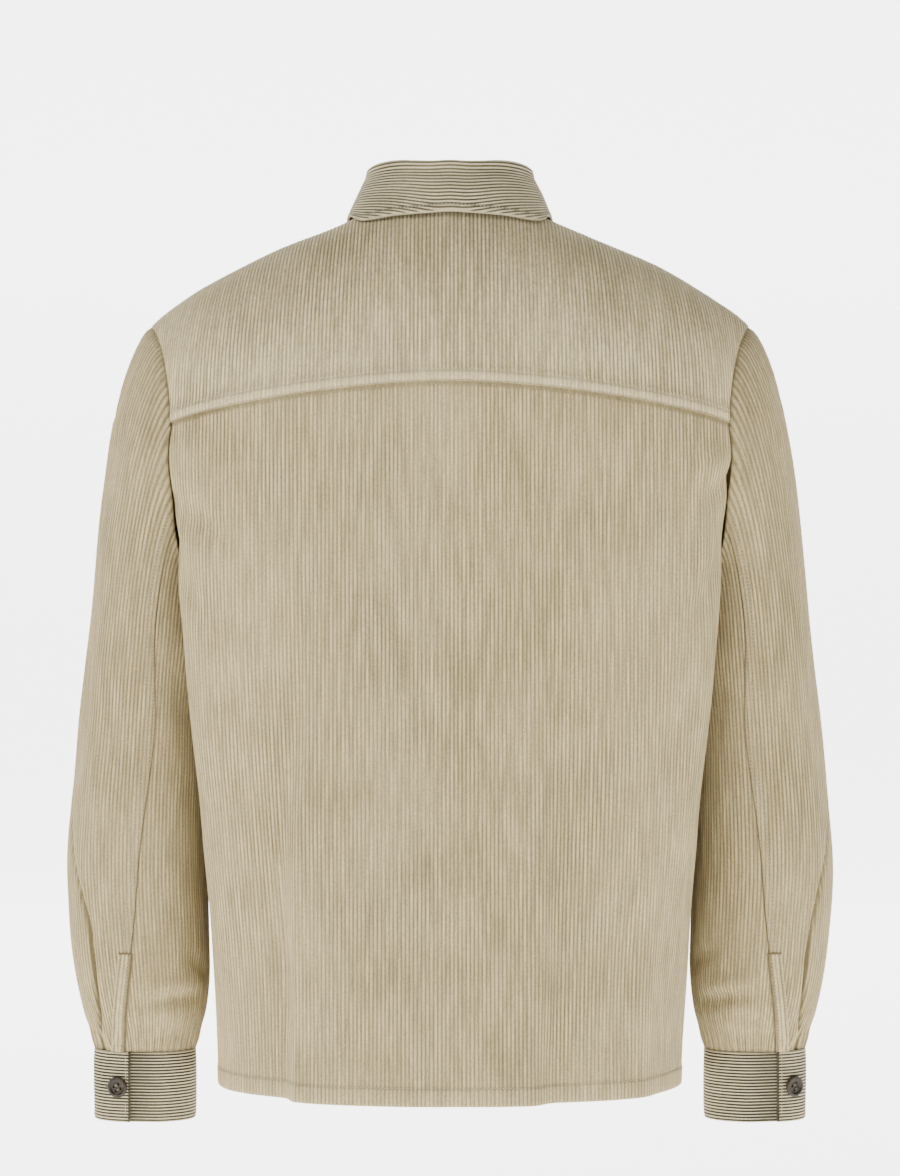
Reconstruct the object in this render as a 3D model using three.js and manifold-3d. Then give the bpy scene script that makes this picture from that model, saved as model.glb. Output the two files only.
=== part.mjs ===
// A corduroy overshirt (shacket), hollow and filled out as if worn, with nobody in it.
// Millimetres. +Z is up, the front faces -Y and the wearer's left is +X.
// The origin is the middle of the neck opening, level with the seam that holds the collar.
//
// Every cloth piece is a wall: a grid of points on its outer face, and the same points moved in
// by the cloth's thickness. A point on the trunk is found by its girth (the distance round the
// cloth from the middle of the back or of the front) and its height.
import * as THREE from "three";
import Module from "manifold-3d";

const wasm = await Module();
wasm.setup();

// Driving dimensions
const CLOTH = 2.0; // thickness of the corduroy
const SEAM_GAP = 0.3; // between two pieces at a seam
const BODY_HEM = -739; // height of the bottom edge
const HEM_DEPTH = 18; // height of the turned-up hem
const HEM_RAISE = 0.6; // how far the hem's double cloth stands out
const CHEST = -186; // height where the upright trunk turns into the shoulders
const UNDERARM = -330; // lowest point of the armhole
const ARMHOLE_MIDDLE = -12; // y of the armhole's lowest point, and of the side seam
const ARMHOLE_BACK = 64; // y of the armhole's back edge at chest height
const ARMHOLE_FRONT = -76; // y of its front edge there
const ARMHOLE_ROUND = 2.3; // how square the bottom of the armhole is
const SHOULDER_TIP = 284; // from the neck's middle to the armhole, measured over the shoulder
const SHOULDER_SEAM = -12; // y of the seam between yoke and front
const YOKE_MIDDLE = -149; // height of the yoke's seam at the middle of the back
const YOKE_DROP = 32; // how much lower that seam is at the armhole
const YOKE_LAP = 0.9; // how far the yoke's double edge stands out
const LAP = 17; // how far each front passes the middle
const LAP_RAISE = 3.2; // how far the upper front stands out over the lower one
const LAP_EASE = { from: 1.2, to: 2.4 }; // where it comes down again, as multiples of LAP
const CUFF = { top: -715, bottom: -775, cx: 263.1, cy: -26, a: 43.8, b: 31, square: 2.1, thick: 2.8 };
const CUFF_UNDER = { length: 26, from: 1.2, full: 0.15 }; // its lower layer, and where that sinks in
const CUFF_COLUMNS = 26;
const CUFF_END = { left: 0.206, right: 0.178 }; // how far round from the outside its upper layer ends
const CUFF_BUTTON = { left: 10, right: 15 }; // from that end to the button's middle
const BUTTON = { radius: 9, thick: 3.2, rim: 1.9, well: 0.9, hole: 1.1, spread: 2.1, facets: 12 };
const BUTTON_LIFT = 0.4; // clearance under a button
const COLLAR_BUTTON_RADIUS = 7;
const FRONT_BUTTONS = { first: -118, pitch: 98, count: 6 };

// The trunk seen from above, at a few heights. half: half width; back, front: depth behind and
// before the middle; square: 2 is an ellipse, more is squarer; dent: how far the sleeve presses
// the side in.
const TRUNK = [
  { z: -120, half: 254, back: 111, front: 112, square: 2.9, dent: 0 },
  { z: -186, half: 251, back: 112, front: 115, square: 2.9, dent: 0 },
  { z: -245, half: 233, back: 112, front: 119, square: 3.0, dent: 48 },
  { z: -300, half: 228, back: 112, front: 121, square: 3.1, dent: 66 },
  { z: -350, half: 224, back: 113, front: 121, square: 3.1, dent: 62 },
  { z: -400, half: 220, back: 115, front: 121, square: 3.0, dent: 48 },
  { z: -450, half: 215, back: 118, front: 121, square: 2.85, dent: 32 },
  { z: -500, half: 210, back: 122, front: 122, square: 2.7, dent: 19 },
  { z: -560, half: 206, back: 127, front: 123, square: 2.55, dent: 10 },
  { z: -620, half: 202, back: 132, front: 125, square: 2.45, dent: 4 },
  { z: -680, half: 199, back: 136, front: 127, square: 2.4, dent: 0 },
  { z: -760, half: 196, back: 141, front: 130, square: 2.35, dent: 0 },
];
const DENT_MIDDLE = -12; // y of the dent's middle
const DENT_REACH = 52; // from there to where it has a third of its depth left

// The line along the top of the shoulders: x, z. Under the collar it runs on over the neck opening.
const RIDGE = [
  { x: 0, z: 22 },
  { x: 40, z: 14 },
  { x: 72, z: 1 },
  { x: 93, z: -8.5 },
  { x: 145, z: -30 },
  { x: 189, z: -51 },
  { x: 227, z: -73 },
  { x: 256, z: -96 },
  { x: 274, z: -124 },
];
const RIDGE_Y = -4;
const ARCH_BACK = 2.3; // how square the shoulder is behind the ridge
const ARCH_FRONT = 1.95; // and before it
const ARCH_SPREAD = 2.4; // how late a line of the cloth moves from its chest place to its ridge place
const TIP_SPREAD = 1.35; // the same for the armhole's edge
const PAST_ARMHOLE = 0.8; // how fast the chest line runs on past the armhole

// The neck seam from above
const NECK = { half: 72, middle: -12, back: 70, front: 84 };

// Soft creases of the trunk. from: the middle of the back or front; side: 1 is the wearer's left;
// girth: how far round the crease starts, at the hem; drift: how much nearer the middle it is at
// its top; rise, fall: how far the cloth takes to step in and to come out again; depth: how far
// it steps in; top, full: heights where it starts and where it is fully deep.
const CREASES = [
  { from: "back", side: 1, girth: 128, drift: 34, rise: 22, fall: 92, depth: 13, top: -200, full: -640 },
  { from: "back", side: -1, girth: 66, drift: 4, rise: 24, fall: 104, depth: 11, top: -330, full: -700 },
  { from: "back", side: -1, girth: 168, drift: 10, rise: 30, fall: 60, depth: 5, top: -420, full: -700 },
  { from: "front", side: 1, girth: 96, drift: 20, rise: 26, fall: 90, depth: 9, top: -260, full: -680 },
  { from: "front", side: -1, girth: 118, drift: 26, rise: 24, fall: 84, depth: 10, top: -250, full: -660 },
];

// The sleeve seen from above: cx, cy: its middle; a, b: half width and half depth.
const SLEEVE = [
  { z: -345, cx: 256.5, cy: -12, a: 51.5, b: 62 },
  { z: -400, cx: 261, cy: -14, a: 53.5, b: 61 },
  { z: -450, cx: 264.5, cy: -16, a: 55.5, b: 60 },
  { z: -505, cx: 267.8, cy: -18, a: 57.8, b: 59 },
  { z: -560, cx: 269.2, cy: -20, a: 59.7, b: 57.5 },
  { z: -610, cx: 267.2, cy: -22, a: 59.6, b: 55.5 },
  { z: -650, cx: 264.8, cy: -24, a: 57.6, b: 52 },
  { z: -682, cx: 263.4, cy: -25, a: 52.6, b: 44 },
  { z: -702, cx: 263, cy: -26, a: 46.6, b: 35 },
  { z: -714.7, cx: 263.1, cy: -26, a: 43.5, b: 30.7 },
];
const SLEEVE_SQUARE = 2.15;
// A pleat at the outside of the sleeve runs into the cuff. share: how far round it is.
const PLEAT = { share: 0.135, drift: 0.045, rise: 8, fall: 32, depth: 7.5, top: -520, full: -690 };
const PLEAT_AT_CUFF = 0.25; // the part of its depth that is left at the cuff
const VENT = { top: -627, inside: 1, outside: 10, thick: 1.6, lift: 0.35 };

// The collar, from the middle of the back (t = 0) to its front end (t = 1).
// girth, angle: where its outer edge lies on the shirt (90 is the ridge, more is in front of it);
// lift: how far its underside is off the shirt there.
const STAND = { height: 32, lean: 4, thick: 2.4, inset: 0.35, sink: 1 };
const COLLAR = [
  { t: 0.0, girth: 0, angle: 56, lift: 2.6 },
  { t: 0.2, girth: 42, angle: 59, lift: 2.6 },
  { t: 0.36, girth: 76, angle: 68, lift: 4 },
  { t: 0.5, girth: 92, angle: 90, lift: 6.2 },
  { t: 0.64, girth: 96, angle: 118, lift: 6.6 },
  { t: 0.82, girth: 88, angle: 138, lift: 5.2 },
  { t: 1.0, girth: 60, angle: 150, lift: 5 },
];
const COLLAR_THICK = 2.4;
// The collar's outer face where it rolls over the stand: out from the stand's outer face, and up
const COLLAR_ROLL = [
  { out: -2.4, up: 1.1 },
  { out: -1.9, up: 3.6 },
  { out: 1.4, up: 6.4 },
  { out: 4.6, up: 4.4 },
  { out: 5.8, up: -1 },
];
const COLLAR_BULGE = 2.5; // how far its fall bows out

const STEPS = 160; // points on half a trunk section

const smooth = (a, b, x) => {
  const k = Math.min(1, Math.max(0, (x - a) / (b - a)));
  return k * k * (3 - 2 * k);
};
const lerp = (a, b, k) => a + (b - a) * k;
const radians = THREE.MathUtils.degToRad;

// A column of a table at one value of its key: a smooth curve through the rows.
function column(table, key, name, value) {
  const down = table[0][key] > table[table.length - 1][key];
  let i = 0;
  while (i < table.length - 2 && (down ? value < table[i + 1][key] : value > table[i + 1][key])) i++;
  const slope = (j) => {
    const before = table[Math.max(j - 1, 0)];
    const after = table[Math.min(j + 1, table.length - 1)];
    return (after[name] - before[name]) / (after[key] - before[key]);
  };
  const span = table[i + 1][key] - table[i][key];
  const k = Math.min(1, Math.max(0, (value - table[i][key]) / span));
  const k2 = k * k;
  const k3 = k2 * k;
  return (
    (2 * k3 - 3 * k2 + 1) * table[i][name] +
    (k3 - 2 * k2 + k) * span * slope(i) +
    (3 * k2 - 2 * k3) * table[i + 1][name] +
    (k3 - k2) * span * slope(i + 1)
  );
}

// A crease steps in over its rise and comes out again over its fall.
const creaseShape = (crease, past) =>
  smooth(0, crease.rise, past) * (1 - smooth(crease.rise, crease.rise + crease.fall, past));

// Half of the trunk's section at a height: points from the middle of the back round one side to
// the middle of the front, with the distance run at each.
const sections = new Map();
function trunkSection(side, z) {
  const name = `${side} ${z.toFixed(3)}`;
  if (sections.has(name)) return sections.get(name);
  const [half, back, front, square, dent] = ["half", "back", "front", "square", "dent"].map((n) =>
    column(TRUNK, "z", n, z),
  );
  const outline = (reach) => {
    const points = [];
    for (let k = 0; k <= STEPS; k++) {
      const angle = Math.PI / 2 - (Math.PI * k) / STEPS;
      const across = Math.abs(Math.cos(angle)) ** (2 / square);
      const along = Math.sign(Math.sin(angle)) * Math.abs(Math.sin(angle)) ** (2 / square);
      const y = along * (along > 0 ? back : front);
      const pressed = dent * Math.exp(-(((y - DENT_MIDDLE) / DENT_REACH) ** 2));
      points.push(new THREE.Vector2(k % STEPS ? reach * across - pressed : 0, y));
    }
    return points;
  };
  let reach = half;
  for (let n = 0; n < 3; n++) reach += half - Math.max(...outline(reach).map((p) => p.x));
  const points = outline(reach);
  const run = runOf(points);
  const total = run[STEPS];
  const moved = points.map((p, k) => {
    const before = points[Math.max(k - 1, 0)];
    const after = points[Math.min(k + 1, STEPS)];
    const out = new THREE.Vector2(-(after.y - before.y), after.x - before.x).normalize();
    let move = 0;
    for (const crease of CREASES) {
      if (crease.side !== side) continue;
      const girth = crease.from === "back" ? run[k] : total - run[k];
      const grown = smooth(crease.top, crease.full, z);
      move -= crease.depth * grown * creaseShape(crease, girth - crease.girth + crease.drift * (1 - grown));
    }
    return p.clone().addScaledVector(out, move);
  });
  const made = { points: moved, run: runOf(moved) };
  sections.set(name, made);
  return made;
}

function runOf(points) {
  const run = [0];
  for (let k = 1; k < points.length; k++) run.push(run[k - 1] + points[k].distanceTo(points[k - 1]));
  return run;
}

// The point at a distance along a line of points; past its ends it runs straight on.
function alongLine(points, run, distance) {
  let i = 0;
  while (i < points.length - 2 && run[i + 1] < distance) i++;
  const k = (distance - run[i]) / (run[i + 1] - run[i]);
  return points[i].clone().lerp(points[i + 1], k);
}

const ridgePoints = [];
for (let x = 0; x <= RIDGE[RIDGE.length - 1].x; x += 2)
  ridgePoints.push(new THREE.Vector2(x, column(RIDGE, "x", "z", x)));
const ridgeRun = runOf(ridgePoints);

// A point of the trunk by face (1 back, -1 front), girth from that face's middle and height.
// Above the chest the height is given as an angle instead: 0 at the chest, 90 on the ridge.
function upright(face, girth, z) {
  const side = girth < 0 ? -1 : 1;
  const { points, run } = trunkSection(side, z);
  const distance = face > 0 ? Math.abs(girth) : run[STEPS] - Math.abs(girth);
  const p = alongLine(points, run, distance);
  return new THREE.Vector3(side * p.x, p.y, z);
}

const chestReach = {}; // how far the chest section is true cloth, before the armhole
function chestPoint(face, side, girth) {
  const reach = chestReach[`${face} ${side}`];
  const last = upright(face, side * Math.min(girth, reach), CHEST);
  if (girth <= reach) return last;
  const before = upright(face, side * (reach - 4), CHEST);
  return last.clone().addScaledVector(last.clone().sub(before).normalize(), (girth - reach) * PAST_ARMHOLE);
}

function shoulder(face, girth, angle) {
  const side = girth < 0 ? -1 : 1;
  const start = chestPoint(face, side, Math.abs(girth));
  const top = alongLine(ridgePoints, ridgeRun, Math.abs(girth));
  const power = 2 / (face > 0 ? ARCH_BACK : ARCH_FRONT);
  const rise = Math.sin(radians(angle));
  const level = Math.max(0, Math.cos(radians(angle)));
  return new THREE.Vector3(
    lerp(start.x, side * top.x, rise ** ARCH_SPREAD),
    RIDGE_Y + (start.y - RIDGE_Y) * level ** power,
    CHEST + (top.y - CHEST) * rise ** power,
  );
}

// The same by one angle that runs from 0 at the back of the chest over the ridge to 180 in front
const overShoulder = (girth, angle) =>
  angle <= 90 ? shoulder(1, girth, angle) : shoulder(-1, girth, 180 - angle);

// The angle at which the shoulder is at a height, and the one at which it is at a depth
function angleAtHeight(face, girth, z) {
  const top = alongLine(ridgePoints, ridgeRun, Math.abs(girth)).y;
  const power = 2 / (face > 0 ? ARCH_BACK : ARCH_FRONT);
  return THREE.MathUtils.radToDeg(Math.asin(Math.min(1, ((z - CHEST) / (top - CHEST)) ** (1 / power))));
}
function angleAtDepth(face, girth, y) {
  const start = chestPoint(face, girth < 0 ? -1 : 1, Math.abs(girth)).y;
  const power = 2 / (face > 0 ? ARCH_BACK : ARCH_FRONT);
  return THREE.MathUtils.radToDeg(Math.acos(((y - RIDGE_Y) / (start - RIDGE_Y)) ** (1 / power)));
}

// How far round the armhole's edge, or below it the side seam, is at a height
function edgeDepth(face, z) {
  const wide = (face > 0 ? ARMHOLE_BACK : ARMHOLE_FRONT) - ARMHOLE_MIDDLE;
  const down = Math.min(1, Math.max(0, (CHEST - z) / (CHEST - UNDERARM)));
  return ARMHOLE_MIDDLE + wide * (1 - down ** ARMHOLE_ROUND) ** (1 / ARMHOLE_ROUND);
}
const edges = new Map();
function edgeGirth(face, side, z) {
  const name = `${face} ${side} ${z.toFixed(3)}`;
  if (edges.has(name)) return edges.get(name);
  const { points, run } = trunkSection(side, z);
  const depth = edgeDepth(face, z);
  let i = 1;
  while (i < STEPS && points[i].y > depth) i++;
  const k = (depth - points[i - 1].y) / (points[i].y - points[i - 1].y);
  const distance = lerp(run[i - 1], run[i], k);
  const girth = face > 0 ? distance : run[STEPS] - distance;
  edges.set(name, girth);
  return girth;
}
for (const face of [1, -1])
  for (const side of [1, -1]) chestReach[`${face} ${side}`] = edgeGirth(face, side, CHEST);

// How far round the armhole's edge is over the shoulder
function shoulderEdge(side, angle) {
  const face = angle <= 90 ? 1 : -1;
  const start = chestReach[`${face} ${side}`];
  return lerp(start, SHOULDER_TIP, Math.sin(radians(angle)) ** TIP_SPREAD);
}

// The angle at which a line of cloth from the chest meets the neck seam
function neckAngle(face, girth) {
  const deep = face > 0 ? NECK.back : NECK.front;
  const outside = (angle) => {
    const p = shoulder(face, girth, angle);
    return (p.x / NECK.half) ** 2 + ((p.y - NECK.middle) / deep) ** 2 > 1;
  };
  let low = 0;
  let high = angleAtDepth(-1, girth, SHOULDER_SEAM);
  if (face > 0) high = 90;
  for (let n = 0; n < 40; n++) {
    const middle = (low + high) / 2;
    if (outside(middle)) low = middle;
    else high = middle;
  }
  return low;
}

// Grids and walls

// The outward direction at each point of a grid whose columns run left to right and whose rows
// run down, seen from outside.
function outwards(grid) {
  return grid.map((row, j) =>
    row.map((_, i) => {
      const left = row[Math.max(i - 1, 0)];
      const right = row[Math.min(i + 1, row.length - 1)];
      const up = grid[Math.max(j - 1, 0)][i];
      const down = grid[Math.min(j + 1, grid.length - 1)][i];
      const out = new THREE.Vector3().crossVectors(down.clone().sub(up), right.clone().sub(left));
      return out.normalize();
    }),
  );
}

// Where pieces meet they share one direction for the cloth's thickness, so that both have a flat
// side there. At the armhole it points away from the armhole's middle, and beside it there is
// the direction across the seam.
const meeting = new Map();
const placeName = (p) => p.toArray().map((n) => Math.round(n * 200)).join();
function noteMeeting(grid) {
  const out = outwards(grid);
  grid.forEach((row, j) =>
    row.forEach((p, i) => {
      if (j > 0 && j < grid.length - 1 && i > 0 && i < row.length - 1) return;
      const known = meeting.get(placeName(p)) ?? { out: new THREE.Vector3() };
      known.out.add(out[j][i]);
      meeting.set(placeName(p), known);
    }),
  );
}

// The grid with its rim moved back within the cloth, so that a seam keeps its gap
function trimmed(grid, trim) {
  const back = (from, to, gap) => {
    const step = to.clone().sub(from);
    return step.multiplyScalar(gap / Math.max(step.length(), gap));
  };
  const last = grid.length - 1;
  return grid.map((row, j) =>
    row.map((p, i) => {
      const moved = p.clone();
      const end = row.length - 1;
      const { across, under } = meeting.get(placeName(p)) ?? {};
      const level = !across || under || trim.armhole > 0;
      if (i === 0 && level) moved.add(back(p, row[1], trim.left ?? 0));
      if (i === end && level) moved.add(back(p, row[end - 1], trim.right ?? 0));
      if (j === 0) moved.add(back(p, grid[1][i], trim.top ?? 0));
      if (j === last) moved.add(back(p, grid[last - 1][i], trim.bottom ?? 0));
      if (across) moved.addScaledVector(across, trim.armhole);
      return moved;
    }),
  );
}

// A wall from a grid of outer points: the inner points are the outer ones moved in.
// raise(j, i) moves an outer point out.
function wall(grid, { thick = CLOTH, raise = () => 0, trim = {} } = {}) {
  const out = outwards(grid);
  const outer = trimmed(grid, trim);
  const rows = grid.length;
  const columns = grid[0].length;
  const position = [];
  for (const layer of [0, 1])
    for (let j = 0; j < rows; j++)
      for (let i = 0; i < columns; i++) {
        const direction = meeting.get(placeName(grid[j][i]))?.out.clone().normalize() ?? out[j][i];
        const move = layer ? -thick : raise(j, i);
        position.push(...outer[j][i].clone().addScaledVector(direction, move).toArray());
      }
  const at = (layer, j, i) => layer * rows * columns + j * columns + i;
  const index = [];
  const quad = (a, b, c, d) => index.push(a, b, c, a, c, d);
  const turned = (a, b, c, d) => index.push(b, c, d, b, d, a);
  for (let j = 0; j < rows - 1; j++)
    for (let i = 0; i < columns - 1; i++) {
      // Each cell is split along its shorter diagonal.
      const falling = outer[j][i].distanceTo(outer[j + 1][i + 1]);
      const rising = outer[j + 1][i].distanceTo(outer[j][i + 1]);
      const split = falling < rising - 1e-6 ? quad : turned;
      split(at(0, j, i), at(0, j + 1, i), at(0, j + 1, i + 1), at(0, j, i + 1));
      // The same diagonal inside, where the corners come in the opposite order
      const inner = split === quad ? quad : turned;
      inner(at(1, j, i), at(1, j, i + 1), at(1, j + 1, i + 1), at(1, j + 1, i));
    }
  for (let i = 0; i < columns - 1; i++) {
    quad(at(1, 0, i), at(0, 0, i), at(0, 0, i + 1), at(1, 0, i + 1));
    quad(at(0, rows - 1, i), at(1, rows - 1, i), at(1, rows - 1, i + 1), at(0, rows - 1, i + 1));
  }
  for (let j = 0; j < rows - 1; j++) {
    quad(at(1, j + 1, 0), at(0, j + 1, 0), at(0, j, 0), at(1, j, 0));
    quad(at(0, j + 1, columns - 1), at(1, j + 1, columns - 1), at(1, j, columns - 1), at(0, j, columns - 1));
  }
  const geometry = new THREE.BufferGeometry();
  geometry.setAttribute("position", new THREE.Float32BufferAttribute(position, 3));
  geometry.setIndex(index);
  return geometry;
}

const spread = (a, b, count) => Array.from({ length: count + 1 }, (_, k) => lerp(a, b, k / count));

// Rows of the trunk below the chest, and of the armhole above the underarm
const ARM_ROWS = [-186, -214, -242, -268, -291, -310, -323, UNDERARM];
const HEM_ROWS = [BODY_HEM + HEM_DEPTH + 9, BODY_HEM + HEM_DEPTH, BODY_HEM];
const BODY_ROWS = [-350, -382, -425, -470, -515, -560, -605, -650, -688, ...HEM_ROWS];
const FRONT_ANGLES = 6; // rows of a front from the shoulder seam to the chest
const YOKE_ANGLES = 6; // rows of the yoke above its lapped edge
const YOKE_LAP_ANGLE = 2.6; // the lapped edge's width, as an angle
const NECK_SHARE = 0.265; // where the neck opening ends, as a share of the way to the armhole
const HALF_BACK = [0, 0.08, 0.15, 0.2, 0.24, NECK_SHARE, 0.36, 0.46, 0.56, 0.66, 0.75, 0.83, 0.9, 0.96, 1];
const FRONT_COLUMNS = [0, 0.055, 0.1, 0.15, 0.2, 0.24, ...HALF_BACK.slice(5)];
const LAP_COLUMNS = [-LAP, -LAP * 0.55];

const yokeSeamHeight = (u) => YOKE_MIDDLE - YOKE_DROP * Math.abs(u) ** 1.7;

// The yoke's lower edge at a share u of the way from the middle of the back to the armhole
function yokeSeamAngle(u) {
  const side = u < 0 ? -1 : 1;
  return angleAtHeight(1, Math.abs(u) * chestReach[`1 ${side}`], yokeSeamHeight(u));
}
const shoulderPoint = (u, angle) => overShoulder(u * shoulderEdge(u < 0 ? -1 : 1, angle), angle);

// The angle where a column of the yoke ends: the neck seam, or the shoulder seam
const inNeck = (u) => Math.abs(u) < NECK_SHARE - 0.001;
function frontTopAngle(u) {
  const girth = Math.abs(u) * SHOULDER_TIP;
  return inNeck(u) ? neckAngle(-1, girth) : angleAtDepth(-1, girth, SHOULDER_SEAM);
}
function yokeTopAngle(u) {
  return inNeck(u) ? neckAngle(1, Math.abs(u) * SHOULDER_TIP) : 180 - frontTopAngle(u);
}
function yokeAngles(u) {
  const low = yokeSeamAngle(u);
  return [low, ...spread(low + YOKE_LAP_ANGLE, yokeTopAngle(u), YOKE_ANGLES)];
}

// Seen from behind, the wearer's left comes first.
const BACK_COLUMNS = [...HALF_BACK].reverse().concat(HALF_BACK.slice(1).map((u) => -u));

function yokeGrid() {
  const columns = BACK_COLUMNS.map((u) => yokeAngles(u).map((angle) => shoulderPoint(u, angle)));
  return columns[0].map((_, j) => columns.map((points) => points[j])).reverse();
}

// The back's rows run level below the underarm and bend up to the yoke above it.
const YOKE_END = yokeSeamHeight(1);
const BACK_ROWS = [YOKE_END, ...ARM_ROWS.slice(1), ...BODY_ROWS];
function backPoint(u, z) {
  if (z === YOKE_END) return shoulderPoint(u, yokeSeamAngle(u));
  const bend = Math.max(0, (z - UNDERARM) / (YOKE_END - UNDERARM));
  const height = z + bend * (yokeSeamHeight(u) - YOKE_END);
  return upright(1, columnGirth(1, u, z), height);
}

// How far round a column is. Towards the armhole the columns spread out below it.
const SPREAD_END = -450;
function columnGirth(face, u, z) {
  const side = u < 0 ? -1 : 1;
  const edge = edgeGirth(face, side, z);
  if (z < SPREAD_END) return u * edge;
  const steady = lerp(
    chestReach[`${face} ${side}`],
    edgeGirth(face, side, SPREAD_END),
    smooth(CHEST, SPREAD_END, z),
  );
  return u * steady + side * Math.abs(u) ** 5 * (edge - steady);
}
const backGrid = () => BACK_ROWS.map((z) => BACK_COLUMNS.map((u) => backPoint(u, z)));

// A front's columns run from its edge past the middle to the armhole and side seam.
function frontGrid(side, upper) {
  const rows = [];
  for (const v of spread(1, 0, FRONT_ANGLES))
    rows.push([
      ...LAP_COLUMNS.map((girth) => shoulder(-1, side * girth, frontTopAngle(0) * v)),
      ...FRONT_COLUMNS.map((u) => {
        const angle = frontTopAngle(u) * v;
        return shoulder(-1, side * u * shoulderEdge(side, 180 - angle), angle);
      }),
    ]);
  for (const z of [...ARM_ROWS.slice(1), ...BODY_ROWS])
    rows.push([
      ...LAP_COLUMNS.map((girth) => upright(-1, side * girth, z)),
      ...FRONT_COLUMNS.map((u) => upright(-1, columnGirth(-1, side * u, z), z)),
    ]);
  if (upper) {
    // The upper front stands out over the lower one and comes back beside it.
    const out = outwards(rows);
    rows.forEach((row, j) =>
      [...LAP_COLUMNS, ...FRONT_COLUMNS.map((u) => u * SHOULDER_TIP)].forEach((girth, i) => {
        const raised = LAP_RAISE * (1 - smooth(LAP * LAP_EASE.from, LAP * LAP_EASE.to, girth));
        row[i].addScaledVector(out[j][i], side * raised);
      }),
    );
  }
  return side > 0 ? rows : rows.map((row) => [...row].reverse());
}

// The armhole's edge as one loop: from the underarm up the back, over the shoulder and down the
// front, through the same points as the pieces that meet there.
function armhole(side) {
  const back = BACK_ROWS.slice(0, ARM_ROWS.length).map((z) => backPoint(side, z));
  const yoke = yokeAngles(side).slice(1).map((angle) => shoulderPoint(side, angle));
  const top = frontTopAngle(1);
  const front = spread(top, 0, FRONT_ANGLES)
    .slice(1)
    .map((angle) => shoulder(-1, side * shoulderEdge(side, 180 - angle), angle));
  const under = ARM_ROWS.slice(1).map((z) => upright(-1, columnGirth(-1, side, z), z));
  return [...back.reverse(), ...yoke, ...front, ...under];
}
const ARMHOLE_CENTRE = new THREE.Vector3(232, -6, -212);
const SLEEVE_WALE = new THREE.Vector3(0.17, 0, -0.985); // the way the wales of the sleeve run
const ALONG_WALE = 0.12; // how much a step along them counts, beside one across them

function noteArmhole(side) {
  const loop = armhole(side);
  const centre = ARMHOLE_CENTRE.clone().setX(side * ARMHOLE_CENTRE.x);
  const count = loop.length - 1;
  for (let i = 0; i < count; i++) {
    const out = loop[i].clone().sub(centre).normalize();
    const along = loop[(i + 1) % count].clone().sub(loop[(i + count - 1) % count]).normalize();
    const across = along.cross(out).normalize().multiplyScalar(-side);
    meeting.set(placeName(loop[i]), { out, across, under: i === 0 });
  }
}

// A sleeve section as a closed line: from the outside round the back, the inside and the front
function ringLine({ cx, cy, a, b }, square, z) {
  const points = [];
  for (let angle = 0; angle <= 360; angle += 3) {
    const c = Math.cos(radians(angle));
    const s = Math.sin(radians(angle));
    const x = cx + a * Math.sign(c) * Math.abs(c) ** (2 / square);
    points.push(new THREE.Vector3(x, cy + b * Math.sign(s) * Math.abs(s) ** (2 / square), z));
  }
  return points;
}
const sleeveRow = (z) => Object.fromEntries(["cx", "cy", "a", "b"].map((n) => [n, column(SLEEVE, "z", n, z)]));

// A point of a ring: share 0 is outside, 0.25 the back, 0.5 inside, 0.75 the front. It also
// gives the direction out of the ring and the ring's girth.
function ringPoint(row, square, share, z) {
  const points = ringLine(row, square, z);
  const run = runOf(points);
  const girth = run[run.length - 1];
  const place = (((share % 1) + 1) % 1) * girth;
  const point = alongLine(points, run, place);
  const ahead = alongLine(points, run, Math.min(place + 1, girth));
  const behind = alongLine(points, run, Math.max(place - 1, 0));
  const out = new THREE.Vector3(ahead.y - behind.y, behind.x - ahead.x, 0).normalize();
  return { point, out, girth };
}

function sleevePoint(share, z) {
  const { point, out, girth } = ringPoint(sleeveRow(z), SLEEVE_SQUARE, share, z);
  const grown = smooth(PLEAT.top, PLEAT.full, z);
  const start = PLEAT.share - PLEAT.drift * (1 - grown);
  const past = ((((start - share + 0.5) % 1) + 1) % 1) - 0.5;
  const depth = PLEAT.depth * grown * lerp(1, PLEAT_AT_CUFF, smooth(-700, CUFF.top, z));
  return point.addScaledVector(out, -depth * creaseShape(PLEAT, past * girth));
}

// Where each point of the armhole belongs on the sleeve's first section. A step along the armhole
// counts by the part of it that lies across the wales, which run down the sleeve.
function armholeShares(loop) {
  const tip = loop.reduce((best, p, i) => (p.z > loop[best].z ? i : best), 0);
  const across = [0];
  for (let i = 1; i < loop.length; i++) {
    const step = loop[i].clone().sub(loop[i - 1]);
    across.push(across[i - 1] + step.clone().cross(SLEEVE_WALE).length() + ALONG_WALE * step.length());
  }
  const total = across[loop.length - 1];
  const middle = across[tip];
  return across.map((d) => (d <= middle ? 0.5 * (1 - d / middle) : (-0.5 * (d - middle)) / (total - middle)));
}

const SLEEVE_SEAM_START = 4; // the armhole point where the sleeve's own seam starts
const CAP_ROWS = 6;
// How the cap leaves the armhole: outward and down, fuller at the outside, and for what part of
// its reach; and how it arrives on the first section
const CAP = { outward: 0.5, fuller: 0.25, down: 0.72, leave: 0.6, inward: 0.1, arrive: 0.9 };
const SLEEVE_ROWS = [-345, -385, -430, -475, -520, -560, -600, -635, -662, -684, -702, -714.2];
const SEAM_SETTLE = 110; // height over which the columns take the seam's line
const SEAM_LINE = [
  { z: -345, share: 0.295 },
  { z: -410, share: 0.295 },
  { z: -470, share: 0.288 },
  { z: -520, share: 0.275 },
  { z: -580, share: 0.26 },
  { z: -627, share: 0.24 },
  { z: -670, share: 0.215 },
  { z: -715, share: 0.182 },
];
const seamShare = (z) => column(SEAM_LINE, "z", "share", z);

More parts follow.
